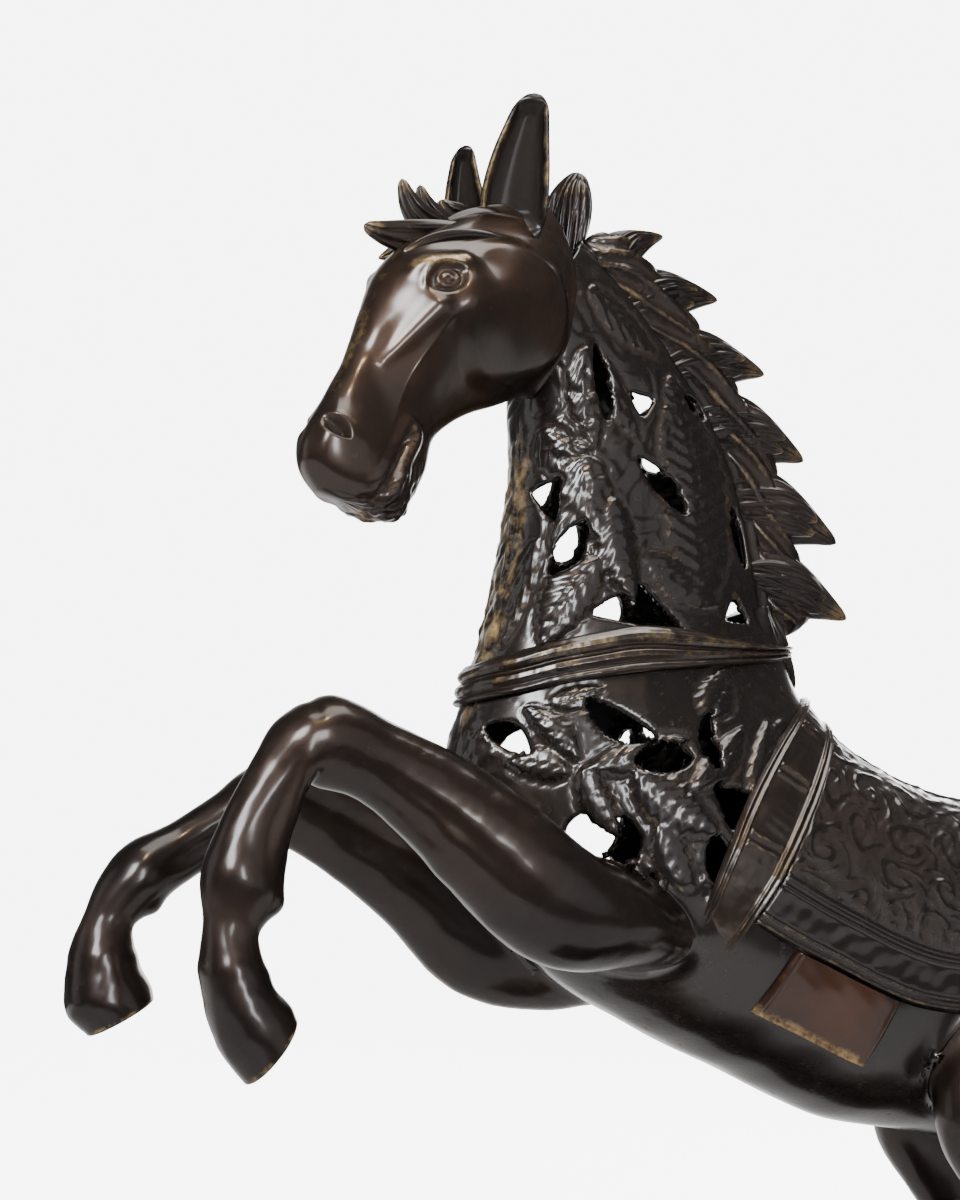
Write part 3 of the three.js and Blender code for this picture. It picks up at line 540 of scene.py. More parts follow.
def foreleg(name, key, knee, fetlock, node):
    # knee and fetlock are places along the limb's rows
    rows = limbRows[key]
    last = len(rows) - 1
    u, t, p = loftGrid(rows, 0, last, legForm["rings"], legForm["around"])
    side = np.abs(np.cos(t))
    front = np.sin(t)
    # muscles of the forearm, two heads parted by a long soft groove
    h = 0.9 * bump(u - (knee - 3.6), 1.2) * side * (0.4 + 0.6 * front)
    h -= 0.9 * bump(u - (knee - 2.4), 1.4) * bump(front + 0.35, 0.16)
    # knee: a flat front plate, side knobs and a fold behind
    h += legForm["joint"] * (bump(u - knee, 0.5) * side**3 + 0.6 * bump(u - knee - 0.75, 0.35) * side**2)
    h -= 0.7 * bump(u - knee - 0.42, 0.14) * smooth(0.2, 0.9, front)
    h -= 1.2 * bump(u - knee - 0.2, 0.3) * smooth(-0.5, -1, front)
    # cannon: tendon groove on both sides
    cannon = smooth(knee + 0.9, knee + 1.6, u) * smooth(fetlock - 0.2, fetlock - 0.9, u)
    h -= legForm["tendon"] * cannon * bump(front + 0.25, 0.22)
    h += 0.5 * cannon * bump(front + 0.85, 0.3)
    # fetlock knobs and the spur behind it, pastern hollow, coronet ridge
    h += legForm["joint"] * bump(u - fetlock, 0.38) * side**3
    h += 1.6 * bump(u - fetlock - 0.15, 0.28) * smooth(-0.7, -1, front)
    h -= 0.6 * bump(u - fetlock - 0.95, 0.3)
    coronet = fetlock + 1.75
    h += legForm["hoofEdge"] * bump(u - coronet, 0.16)
    h += 0.22 * waves(p, 20, 21) + 0.08 * waves(p, 7, 22)
    p = p + gridNormals(p) * h[..., None]
    p = meltInto(p, bodySamples, 10)
    wear = 0.2 * bump(u - coronet - 0.1, 0.5) * smooth(0.2, 0.9, front) + 0.6 * bump(u - last, 0.1)
    masks = {"wear": wear,
             "recess": 0.5 * bump(u - fetlock - 0.95, 0.4) + 0.4 * cannon * bump(front + 0.25, 0.2)}
    p = soleRings(p, 2.5)
    p[..., 0] = np.maximum(p[..., 0], -295.4)
    return finishPiece(tubePiece(name, p, masks), limbBronze, "dark_bronze", node, node + "_stud")


def hindLeg(name, key, node):
    rows = limbRows[key]
    last = len(rows) - 1
    u, t, p = loftGrid(rows, 0, last, legForm["rings"], legForm["around"])
    outwards = np.sign(rows[3][5]) * np.cos(t)
    front = np.sin(t)
    side = np.abs(np.cos(t))
    # thigh muscles: the long groove between them and the stifle's knob
    h = 1.6 * bump(u - 1.2, 0.9) * bump(front - 0.2, 0.5) * smooth(0, 1, outwards)
    h -= 1.8 * bump(u - 1.6, 1.1) * bump(front + 0.45, 0.14) * smooth(0, 0.8, outwards)
    h += 1.4 * bump(u - 2.2, 0.35) * bump(front - 0.75, 0.4)
    h -= 1.0 * bump(u - 3.2, 0.7) * bump(front + 0.3, 0.25)
    # hock with its point, flat bones in front, cannon tendons, fetlock, coronet
    h += 1.3 * bump(u - 5, 0.35) * smooth(-0.4, -1, front) + 0.9 * bump(u - 5.2, 0.4) * side**3
    h -= 0.8 * bump(u - 4.5, 0.5) * bump(front + 0.45, 0.2)
    cannon = smooth(5.9, 6.4, u) * smooth(8, 7.5, u)
    h -= legForm["tendon"] * cannon * bump(front + 0.25, 0.22)
    h += legForm["joint"] * bump(u - 8.05, 0.35) * side**3
    h += 1.2 * bump(u - 8.2, 0.25) * smooth(-0.7, -1, front)
    h -= 0.6 * bump(u - 9, 0.3)
    h += legForm["hoofEdge"] * bump(u - 9.9, 0.15)
    h += 0.22 * waves(p, 20, 31) + 0.08 * waves(p, 7, 32)
    # the rough line of filler where the leg is brazed to the body
    h = np.where(u > last - 0.5, np.minimum(h, 0), h)
    p = p + gridNormals(p) * h[..., None]
    p = meltInto(p, bodySamples, 7)
    depth = planeDepth(p, bodySamples)
    masks = {"wear": 0.5 * bump(u - 9.9, 0.25) + 0.3 * bump(u - 5, 0.5) * smooth(0, -1, front),
             "recess": 0.5 * bump(u - 9, 0.4) + bump(depth - 1, 2.5), "rough": bump(depth - 1, 3.5)}
    p[..., 2] = np.maximum(p[..., 2], 20.3)
    return finishPiece(tubePiece(name, p, masks), limbBronze, "dark_bronze", node, node + "_stud")


def planeDepth(p, samples):
    # distance of each grid point from a sampled surface
    flat = p.reshape(-1, 3).astype(np.float32)
    found = np.full(len(flat), 50.0)
    for part in np.array_split(np.arange(len(flat)), max(1, len(flat) // 700)):
        near = nearSamples(samples, flat[part].min(0), flat[part].max(0), 14)
        if len(near[0]):
            found[part] = planeDistance(flat[part], *near)[0]
    return found.reshape(p.shape[:-1])


# head

headForm = {
    "around": 210, "rings": 250,
    # ahead of the poll and above its level, before the head is turned, and slope in radians
    "eye": (80, -35, -0.5), "eyeSize": (6.0, 3.3),
    "nostril": (120.5, -92, 0.9), "nostrilSize": (5.6, 3.0),
    "mouthFront": (106, -118), "mouthCorner": (89, -91),
    "cheek": (48, -42, 30),
}


def segmentDistance(a, b, start, end):
    # distance in the profile plane to a line between two points, and the share along it
    ax, ay = end[0] - start[0], end[1] - start[1]
    share = np.clip(((a - start[0]) * ax + (b - start[1]) * ay) / (ax * ax + ay * ay), 0, 1)
    return np.hypot(a - start[0] - share * ax, b - start[1] - share * ay), share


def tilted(a, b, middleA, middleB, slope):
    # the same places measured from a middle, along and across a slope
    a, b, c, s = a - middleA, b - middleB, math.cos(slope), math.sin(slope)
    return a * c + b * s, b * c - a * s


def makeHead(material):
    u, t, p = loftGrid(headRows, 0, 10, headForm["rings"], headForm["around"])
    a, z, side = -120 - p[..., 0], p[..., 2] - 522, np.abs(p[..., 1] + 6)
    normal = gridNormals(p)
    flank = smooth(5, 13, side)
    h = 0.25 * waves(p, 22, 41)
    wear, recess, rough = np.zeros(u.shape), np.zeros(u.shape), np.zeros(u.shape)
    # cheek plate with a crisp rear and lower edge
    cx, cz, radius = headForm["cheek"]
    r = np.hypot(a - cx, (z - cz) * 1.05)
    h += 3.0 * smooth(radius + 2.5, radius - 6, r) * flank * smooth(100, 70, a)
    # hollow under the cheek bone, between the cheek and the muzzle
    h -= 2.2 * bump(np.hypot(a - 97, z + 72) / 15, 1) * flank
    # cheek bone: a drop-shaped ridge from under the eye towards the nostril
    d, s = segmentDistance(a, z, (84, -46), (101, -66))
    h += 2.1 * bump(d, 4.2 - 1.8 * s) * flank * (1 - 0.5 * s)
    # brow ridge and the hollow behind it
    d, s = segmentDistance(a, z, (72, -27), (90, -30))
    h += 2.6 * bump(d, 3.4) * smooth(8, 16, side)
    wear = np.maximum(wear, 0.75 * bump(d, 2.2) * flank)
    h -= 1.8 * bump(np.hypot(a - 62, z + 26) / 8.5, 1) * flank
    # eye: a bead in an almond socket with two lids, ringed pupil
    ea, eb = tilted(a, z, *headForm["eye"])
    onSide = smooth(12, 18, side)
    lid = openingShape("almond", ea, eb, *headForm["eyeSize"])
    inside = smooth(0.4, -0.5, lid)
    r = np.hypot(ea, eb)
    h -= 1.7 * bump(np.maximum(lid, 0) - 0.2, 1.1) * onSide * (1 - inside)
    h += 0.9 * bump(lid - 1.9, 0.9) * onSide * (0.55 + 0.45 * np.tanh(eb))
    h += (1.5 * np.sqrt(np.clip(1 - (r / 4.6)**2, 0, 1)) - 0.9) * inside * onSide
    h -= 0.75 * bump(r - 2.1, 0.45) * inside * onSide
    h -= 0.6 * bump(r, 0.7) * inside * onSide
    wear = np.maximum(wear, 0.3 * bump(lid - 1.9, 0.8) * onSide * smooth(-1, 2, eb))
    recess = np.maximum(recess, bump(lid, 0.9) * onSide)
    # nostril: a slanted slit in a soft swelling
    na, nb = tilted(a, z, *headForm["nostril"])
    slit = openingShape("almond", na, nb, *headForm["nostrilSize"])
    atSide = smooth(3, 8, side)
    h += (2.0 * bump(np.hypot(na, nb) / 11, 1) - 4.2 * smooth(0.9, -1.8, slit)) * atSide
    # the recess mask darkens the slit and dims its highlight: painted shade
    recess = np.maximum(recess, smooth(1.4, -0.4, slit) * atSide)
    wear = np.maximum(wear, 0.3 * bump(slit - 2.4, 1.6) * atSide * smooth(2, 6, nb))
    # mouth: a deep line with full lips
    d, s = segmentDistance(a, z, headForm["mouthFront"], headForm["mouthCorner"])
    lip = smooth(1.05, 0.85, s) * smooth(0.04, 0.25, s)
    h += 1.7 * bump(d - 4.2, 2.4) * smooth(0, 0.3, s) - 3.0 * bump(d, 1.5) * lip
    recess = np.maximum(recess, bump(d, 1.4) * lip)
    wear = np.maximum(wear, 0.35 * bump(d - 2.6, 1.1) * smooth(0, 0.35, s))
    # rugged chin and lower lip
    r = np.hypot(a - 93, z + 117)
    h += 2.2 * bump(r / 9, 1) + bump(r / 13, 1) * (1.1 * waves(p, 9, 42) + 0.7 * waves(p, 4, 43))
    rough = np.maximum(rough, bump(r / 14, 1))
    # veins and tool dents on the face, rub on the bridge of the nose
    h += 0.3 * waves(p, 9, 44) * bump(np.hypot(a - 105, z + 62) / 16, 1)
    bridge = smooth(6, 1, side) * smooth(60, 80, a) * smooth(128, 112, a) * smooth(50, 75, np.degrees(t))
    wear = np.maximum(wear, 0.5 * bridge)
    p = turnedHead(p + normal * h[..., None])
    p = meltInto(p, bodySamples, 5)
    piece = tubePiece("head", p, {"wear": wear, "recess": recess, "rough": rough})
    return finishPiece(piece, material, "dark_bronze", "head_casting", "head_cross_pin")


# ears

ears = {
    # foot, tip, half width, direction of the opening, depth
    "left": ((-149.5, -24, 505), (-147, -31, 566.8), 12.4, (-0.45, -1.0, 0.1), 7.5),
    "right": ((-157, -5, 508), (-163.5, -4, 552.5), 8.6, (-0.75, -0.8, 0.1), 5.5),
    # half width and sideways lean from foot to tip
    "outline": [[0.45, 0], [0.66, -0.12], [0.92, -0.22], [1.0, -0.24], [0.97, -0.22], [0.9, -0.18],
                [0.8, -0.13], [0.68, -0.06], [0.56, 0.02], [0.48, 0.1]],
}


def makeEar(side, material):
    # a leaf cupped towards its opening: each ring runs round the back and returns along the hollow
    foot, tip, halfWidth, opening, depth = ears[side]
    foot, tip, opening = np.array([foot, tip, opening], float)
    axis = (tip - foot) / np.linalg.norm(tip - foot)
    opening -= axis * (opening @ axis)
    opening /= np.linalg.norm(opening)
    across = np.cross(axis, opening)
    rings, around = 90, 72
    s, f = np.meshgrid(np.linspace(0, 1, rings), np.arange(around) / around, indexing="ij")
    outline = rowAt(ears["outline"], s * (len(ears["outline"]) - 1))
    rounded = np.sqrt(np.clip(1 - (np.maximum(s - 0.86, 0) / 0.14)**2, 0, 1)) + 0.01
    half, lean = halfWidth * outline[..., 0] * rounded, halfWidth * outline[..., 1]
    deep = depth * (0.55 + 0.45 * np.sin(math.pi * s)) * rounded
    outer = f < 0.5
    angle = np.where(outer, f * turn, (1 - f) * turn)
    cup = smooth(0.12, 0.3, s) * smooth(0.98, 0.86, s)
    inner = deep * (-0.25 + cup * 0.95) - 0.4
    dip = np.where(outer, deep, inner) * np.sin(angle)
    rim = 1.0 * np.abs(np.cos(angle))**6
    width = (half - np.where(outer, 0, 1.9 * cup)) * np.cos(angle)
    p = foot + s[..., None] * (tip - foot) + across * (width + lean)[..., None]
    p += opening * (rim * cup - dip + deep * 0.5)[..., None]
    hollow = np.where(outer, 0, cup)
    # the hollow's recess mask darkens it and dims its reflections: painted shade
    masks = {"wear": 0.4 * bump(np.abs(np.cos(angle)) - 1, 0.1) * cup,
             "recess": hollow * np.maximum(np.sin(angle), 0)**0.5, "rough": 0.5 * hollow}
    return finishPiece(tubePiece(side + "Ear", p, masks), material, "dark_bronze", side + "_ear")


# hair

def bezier(points, count):
    s = np.linspace(0, 1, count)[:, None]
    a, b, c, d = (np.array(k, float) for k in points)
    return (1 - s)**3 * a + 3 * (1 - s)**2 * s * b + 3 * (1 - s) * s**2 * c + s**3 * d


def lockGrid(path, width, thick, flatWay, strands, blunt=False, around=48):
    # a flattened horn: grooves run along it and meet at its tip
    s = np.linspace(0, 1, len(path))[:, None]
    along = np.gradient(path, axis=0)
    along /= np.linalg.norm(along, axis=1, keepdims=True)
    side = np.cross(along, np.array(flatWay, float))
    side /= np.linalg.norm(side, axis=1, keepdims=True)
    face = np.cross(side, along)
    phi = np.arange(around)[None] * turn / around
    c, k = np.cos(phi), np.sin(phi)
    taper = np.sqrt(np.clip(1 - s**6, 0, 1)) if blunt else np.clip(1 - s**2.6, 0, 1)**0.7
    w = width * taper * (0.8 + 0.35 * np.sin(math.pi * np.clip(s * 1.1, 0, 1))) + 0.15
    d = thick * np.sqrt(np.clip(1 - s**3, 0, 1)) * (1 - 0.35 * s) + 0.15
    grooves = np.cos(math.pi * strands * (c + 0.12 * np.sin(turn * s * 0.8)))
    d = d * (1 + 0.3 * grooves * np.abs(k)**0.5)
    p = path[:, None] + side[:, None] * (w * c)[..., None] + face[:, None] * (d * k)[..., None]
    wear = smooth(0.8, 1, s) * 0.4 + 0.22 * np.maximum(grooves, 0) * smooth(0.3, 0.9, s)
    recess = np.maximum(-grooves, 0) * np.abs(k) * 0.8 + 0 * s
    return p, {"wear": wear, "recess": recess}


def joinedLocks(name, grids):
    # many closed locks in one mesh
    verts, faces, start = [], [], 0
    masks = {"wear": [], "recess": []}
    for p, given in grids:
        block, parts = closedTube(p)
        a, b, c = (block[parts[0][:, i]] - block.mean(0) for i in (0, 1, 2))
        if np.sum(a * np.cross(b, c)) < 0:
            parts = [part[:, ::-1] for part in parts]
        verts.append(block)
        faces += [part + start for part in parts]
        for key, found in masks.items():
            found.append(np.concatenate([given[key].ravel(), given[key][[0, -1], 0]]))
        start += len(block)
    return meshPiece(name, np.vstack(verts), faces, {key: np.concatenate(masks[key]) for key in masks})


mane = {
    # each tuft: where it leaves the crest, how far along the crest it runs, the bend outside it, its tip,
    # half width
    "tufts": [
        ((-124, 510), (-122, 524), (-118, 538), (-115, 548), 8.5),
        ((-116, 503), (-107, 512), (-98, 523), (-80, 527), 9.0),
        ((-102, 494), (-92, 502), (-78, 506), (-56.5, 504.5), 11.0),
        ((-86, 472), (-74, 480), (-59, 482), (-36.5, 477), 12.5),
        ((-70, 448), (-58, 456), (-42, 455), (-20.5, 444), 14.5),
        ((-58, 422), (-46, 428), (-29, 424), (-7.5, 412.5), 15.0),
        ((-52, 396), (-42, 400), (-25, 394), (-4, 383), 13.5),
        ((-46, 384), (-42, 374), (-35, 364), (-27, 355), 9.5)],
    # sideways place, reach, drop and width of each layer of a tuft
    "layers": [(0, 1.0, 0, 1.0), (-4.6, 0.5, -2, 0.66), (-4.2, 0.45, 7, 0.5), (4.5, 0.55, 3, 0.7)],
    "thick": 7.5, "strands": 6,
}


def makeMane(material):
    # tufts of curved locks over a ridge along the crest of the neck
    grids = []
    for k, (root, bend, out, tip, half) in enumerate(mane["tufts"]):
        for y, reach, drop, wide in mane["layers"]:
            ends = [np.array([x, -1 + y, z], float) for x, z in (root, bend, out, tip)]
            ends[3] = ends[2] + (ends[3] - ends[2]) * reach
            ends[3][2] -= drop * 0.6
            ends[2][2] -= drop
            ends[0][0] += 2.5 * np.sign(abs(y))
            path = bezier(ends, 70)
            path[:, 1] += 1.2 * np.sin(np.linspace(0, 5, 70) + k + y)
            thick, strands = (mane["thick"], mane["strands"]) if y == 0 else (mane["thick"] * 0.55, 4)
            grids.append(lockGrid(path, half * wide, thick, (0, 1, 0), strands, k == 0))
    # the ridge of short hair along the crest, its strands slanting back
    u, t = np.meshgrid(np.linspace(10.9, 16.9, 260), np.arange(60) * turn / 60, indexing="ij")
    crest = section(bodyRows, u[:, :1], np.full(u[:, :1].shape, math.pi / 2))
    low = section(bodyRows, u[:, :1], np.full(u[:, :1].shape, -math.pi / 2))
    out = (crest - low) / np.linalg.norm(crest - low, axis=-1, keepdims=True)
    slant = np.sin(turn * (u * 1.7 + 1.5 * np.cos(t) + 0.15 * np.sin(u * 5)))
    fine = np.sin(turn * (u * 4.9 + 4.4 * np.cos(t) + 0.3 * np.sin(u * 4)))
    ends = np.sqrt(np.clip(np.minimum(u - 10.88, 16.92 - u) * 2.5, 0, 1))
    high = 12.5 * ends
    wide = (8.0 + 0.9 * slant + 0.4 * fine) * ends
    rise = high * np.cos(t) + 2 + (0.9 * slant + 0.3 * fine) * ends * np.maximum(np.cos(t), 0)
    p = crest + out * rise[..., None]
    p = p + np.array([0, 1.0, 0]) * (wide * np.sin(t))[..., None]
    grids.append((p, {"wear": 0.35 * np.maximum(slant, 0) * ends, "recess": np.maximum(-slant, 0)}))
    piece = joinedLocks("mane", grids)
    return finishPiece(piece, material, "dark_bronze", "mane_crest")


forelock = {
    # four points of each lock, half width, half thickness
    "locks": [
        ((-146, -22, 505), (-172, -27, 513), (-196, -32, 503), (-213, -33, 509), 6.4, 4.4, True),
        ((-160, -17, 510), (-180, -22, 513), (-192, -26, 512), (-196, -26, 530), 5.0, 4.0, True),
        ((-156, -12, 511), (-172, -15, 516), (-183, -18, 515), (-186, -18, 531), 4.6, 3.6, True),
        ((-143, -27, 501), (-166, -35, 508), (-187, -40, 503), (-201, -40, 497), 6.0, 3.4, True),
        ((-156, -6, 510), (-174, -8, 517), (-188, -10, 509), (-199, -10, 504), 6.5, 3.6, False),
        ((-150, 2, 508), (-168, 4, 515), (-182, 4, 508), (-194, 4, 501), 6.0, 3.4, False),
        ((-146, -18, 510), (-158, -20, 519), (-172, -22, 516), (-184, -25, 512), 8.0, 5.0, False),
        ((-154, -8, 512), (-166, -12, 522), (-174, -15, 520), (-177, -16, 527), 5.5, 4.0, True)],
    "strands": 3,
}


def makeForelock(material):
    grids = [lockGrid(bezier(points, 60), half, thick, (0.25, 1, 0.5), forelock["strands"], blunt, 40)
             for *points, half, thick, blunt in forelock["locks"]]
    return finishPiece(joinedLocks("forelockHair", grids), material, "dark_bronze", "forelock")


# tail

tailRows = roundRows([
    [120, 268, 124, 252, 8, 0], [136, 295, 146, 273, 11, 0], [156, 309, 152, 277, 14, 0],
    [186, 298, 162, 274, 17, -2], [202, 262, 168, 254, 19, -3], [206, 222, 168, 224, 20, -2],
    [204, 182, 162, 188, 20, 1], [209, 146, 166, 150, 17, 3], [216, 116, 182, 118, 12, 2],
    [220, 96, 202, 96, 5, 0]])
tail = {
    "strands": 11, "depth": 4.2,
    # locks that part from the mass near its end: four points, half width, half thickness
    "locks": [
        ((190, -12, 214), (196, -15, 176), (176, -14, 142), (160, -11, 120), 6, 4),
        ((184, 12, 210), (176, 16, 170), (178, 12, 138), (166, 10, 108), 6, 4),
        ((196, -6, 190), (204, -10, 150), (210, -8, 120), (200, -5, 92), 6, 4),
        ((190, 8, 180), (196, 12, 146), (198, 10, 118), (186, 6, 88), 6, 4),
        ((176, -8, 240), (166, -12, 200), (160, -11, 176), (150, -7, 160), 5, 3.5),
        ((178, 8, 236), (166, 10, 204), (164, 12, 182), (153, 8, 166), 5, 3.5),
        ((196, 0, 150), (206, 0, 124), (216, 0, 108), (215, 0, 84), 5, 3.5)],
}


def makeTail(material):
    u, t, p = loftGrid(tailRows, 0, 9, 250, 180)
    # strands wind slowly round the mass; a ridged profile with finer lines on each strand
    wind = tail["strands"] * t / turn + 0.5 * np.sin(u * 0.9)
    wind = wind + 0.3 * np.sin(u * 1.7 + 3 * t) * smooth(0, 2, u)
    ridge = np.abs(np.sin(math.pi * wind))**0.7
    fine = np.cos(turn * wind * 4 + 1.5 * np.sin(u * 2))
    size = smooth(0.2, 2.5, u) * smooth(9.2, 7.5, u)
    h = size * (tail["depth"] * (ridge - 1) + 0.35 * fine - 0.4)
    p = p + gridNormals(p) * h[..., None]
    masks = {"wear": 0.6 * smooth(0.75, 1, ridge) * (0.6 + 0.4 * fine),
             "recess": smooth(0.45, 0.05, ridge) * size}
    grids = [(p, masks)]
    grids += [lockGrid(bezier(points, 70), half, thick, (0, 1, 0.1), 3, around=36)
              for *points, half, thick in tail["locks"]]
    return finishPiece(joinedLocks("tailHair", grids), material, "dark_bronze", "tail", "tail_stud")


# harness

def outerOnly(masks):
    # masks of the outer face, with nothing on the inner one
    return {key: np.concatenate([value, 0 * value], 1) for key, value in masks.items()}


def bandPiece(name, grid, masks):
    # closed along the band and across it
    rings, around = grid.shape[:2]
    faces = gridFaces(rings + 1, around) % (rings * around)
    return meshPiece(name, grid, [faces], masks)


def profileHeight(share, table):
    return np.interp(share, *np.array(table, float).T)


def fromTop(t):
    # degrees from the crest, the same on both sides
    d = np.abs(np.degrees(t) - 90) % 360
    return np.where(d > 180, 360 - d, d)


collar = {
    # degrees from the crest: middle of the band, half its width
    "middle": [[0, 10.3], [25, 10.25], [44, 10.48], [86, 11.1], [111, 11.13], [163, 11.1], [180, 11.08]],
    "half": [[0, 0.28], [44, 0.3], [86, 0.42], [111, 0.36], [163, 0.28], [180, 0.28]],
    "profile": [[0, 1.2], [0.05, 2.6], [0.1, 3.3], [0.17, 3.1], [0.21, 2.0], [0.26, 2.7], [0.36, 3.7],
                [0.47, 3.6], [0.53, 2.4], [0.57, 2.1], [0.62, 3.2], [0.72, 4.3], [0.82, 4.3], [0.9, 3.2],
                [0.94, 2.9], [0.97, 2.2], [1, 0.6]],
}
girth = {
    "rear": [[0, 6.85], [90, 6.98], [130, 6.95], [180, 6.8]],
    "front": [[0, 8.05], [38, 8.25], [70, 8.1], [95, 7.7], [120, 7.35], [180, 7.2]],
    "profile": [[0, 0.6], [0.03, 2.2], [0.06, 3.0], [0.09, 2.1], [0.12, 2.2], [0.16, 3.2], [0.2, 2.0],
                [0.5, 2.25], [0.8, 2.0], [0.84, 3.2], [0.88, 2.2], [0.91, 2.1], [0.94, 3.0], [0.97, 2.2],
                [1, 0.6]],
    "crossings": [36, 60, 84],   # degrees from the crest
}


def eased(x, table):
    # straight-line reading of a table with its corners softened
    at, value = np.array(table, float).T
    return sum(np.interp(x + shift, at, value) for shift in (-16, -10, -5, 0, 5, 10, 16)) / 7


def bandGrid(rear, front, rings, across, heightAt):
    # outer face with its relief, inner face just above the skin
    t, s = np.meshgrid(np.arange(rings) * turn / rings, np.linspace(0, 1, across), indexing="ij")
    d = fromTop(t)
    low, high = eased(d, rear), eased(d, front)
    u = low + (high - low) * s
    h = heightAt(s, d, u, t)
    outer = section(bodyRows, u, t, h)
    inner = section(bodyRows, u, t, np.minimum(h - 0.4, 0.35))[:, ::-1]
    return np.concatenate([outer, inner], 1), h


def makeCollar(material):
    middle, half = (np.array(collar[key], float) for key in ("middle", "half"))
    at = middle[:, 0]
    size = np.interp(at, *half.T)
    rear, front = np.stack([at, middle[:, 1] - size], 1), np.stack([at, middle[:, 1] + size], 1)

    def heightAt(s, d, u, t):
        p = section(bodyRows, u, t)
        # the mouldings soften and wander a little as hand work does
        s = s + 0.015 * np.sin(t * 5) + 0.01 * np.sin(t * 11 + 1)
        return profileHeight(s, collar["profile"]) + 0.14 * waves(p, 14, 51) + 0.12 * waves(p, 5, 52)

    grid, h = bandGrid(rear, front, 420, 64, heightAt)
    ridge = smooth(2.9, 4.0, h)
    masks = outerOnly({"wear": ridge * 0.3, "recess": smooth(2.7, 2.0, h) * 0.7})
    return finishPiece(bandPiece("collarBand", grid, masks), material, "rubbed_bronze", "neck_collar")


def makeGirth(material):
    def heightAt(s, d, u, t):
        h = profileHeight(s, girth["profile"])
        middle = smooth(0.2, 0.24, s) * smooth(0.8, 0.76, s)
        for place in girth["crossings"]:
            # two short raised lines across the strap
            skew = d - place - 3 * (s - 0.5)
            h = h + middle * (0.9 * bump(skew - 1.6, 0.6) + 0.9 * bump(skew + 1.6, 0.6))
        p = section(bodyRows, u, t)
        h = h + 0.14 * waves(p, 12, 53) + 0.1 * waves(p, 4, 54)
        # it sinks into the shell under the elbow
        return h * smooth(128, 110, d) - 1.0 * smooth(112, 128, d)

    grid, h = bandGrid(girth["rear"], girth["front"], 520, 70, heightAt)
    masks = outerOnly({"wear": smooth(2.45, 3.1, h) * 0.4, "recess": smooth(2.1, 1.7, h) * 0.8})
    return finishPiece(bandPiece("girthStrap", grid, masks), material, "rubbed_bronze", "girth_band")


blanket = {
    "from": 3.4, "to": 6.98, "low": -17, "high": 197, "height": 1.5,
    "scrollSize": 19, "scrollDepth": 0.5,
    # distance from the edge, height and half width of each raised line
    "cords": [(1.8, 1.3, 0.8), (4.4, 1.1, 0.8), (15, 0.7, 0.6), (17.4, 0.7, 0.6)],
}


def scrollwork(p, size):
    # engraved foliage: rings of spiral stems repeated on the flank, each cell turned by its place,
    # with fine lines between them
    x, z = p[..., 0] / size, p[..., 2] / size
    row = np.floor(z)
    x = x + 0.5 * (row % 2)
    cell = np.floor(x)
    a, b = x - cell - 0.5, z - row - 0.5
    hand = np.where((cell + row) % 2 > 0, 1.0, -1.0)
    r, angle = np.hypot(a, b), np.arctan2(b, a) * hand
    spiral = np.sin(angle + r * 15)
    petals = np.sin(angle * 5 + r * 22) * smooth(0.24, 0.34, r)
    return np.maximum(spiral, 0)**2 * smooth(0.5, 0.42, r) + 0.5 * np.maximum(petals, 0)


def patchPiece(name, low, high, start, end, rings, across, heightAt):
    # a slab on the skin, its outer face in relief, closed all round
    angles = np.radians(np.linspace(start, end, rings))
    t, s = np.meshgrid(angles, np.linspace(0, 1, across), indexing="ij")
    u = low + (high - low) * s
    h, masks = heightAt(s, u, t)
    grid = np.concatenate([section(bodyRows, u, t, h), section(bodyRows, u, t, 0.3)[:, ::-1]], 1)
    return tubePiece(name, grid, outerOnly(masks))


def makeBlanket(material):
    def heightAt(s, u, t):
        p = section(bodyRows, u, t)
        down = np.minimum(np.degrees(t) - blanket["low"], blanket["high"] - np.degrees(t))
        length = (u - blanket["from"]) * 34
        ahead = (blanket["to"] - u) * 34
        edge = np.minimum(down * 0.9, length)
        h = blanket["height"] * smooth(0, 1.2, edge) * smooth(0, 1.2, ahead)
        # double cord round the edge, a second pair of lines further in
        for place, high, size in blanket["cords"]:
            h = h + high * bump(edge - place, size)
        drift = np.stack([waves(p, 34, 61), 0 * u, waves(p, 34, 62)], -1)
        scroll = scrollwork(p + 5.5 * drift, blanket["scrollSize"]) * (0.6 + 0.5 * waves(p, 28, 63))
        inner = smooth(18.5, 21, edge)
        leafBand = smooth(5.6, 6.6, edge) * smooth(13.8, 12.8, edge)
        h = h + inner * blanket["scrollDepth"] * (scroll - 0.3) + leafBand * 0.3 * waves(p, 9, 64)
        h = h + 0.3 * inner * waves(p, 6, 55) + 0.12 * waves(p, 16, 56)
        # the line down the middle of the back is a double ridge
        back = np.abs(np.degrees(t) - 90)
        h = h + 1.2 * bump(back - 5, 1.1) + 0.9 * bump(back - 9, 1.1)
        wear = 0.3 * np.maximum(bump(edge - 1.8, 0.7), bump(edge - 4.4, 0.7)) + 0.4 * bump(back - 5, 1)
        wear = wear + 0.15 * inner * np.clip(scroll, 0, 1)
        recess = inner * smooth(0.25, 0.0, scroll) * 0.8 + 0.7 * bump(edge - 3.1, 0.6)
        return np.maximum(h, 0.5), {"wear": wear, "recess": recess, "rough": 0.25 * inner}

    limits = (blanket[key] for key in ("from", "to", "low", "high"))
    piece = patchPiece("blanketCloth", *limits, 430, 150, heightAt)
    return finishPiece(piece, material, "dark_bronze", "saddle_blanket")


flap = {"from": 5.15, "to": 6.4, "height": 2.6, "turn": (197, 225)}


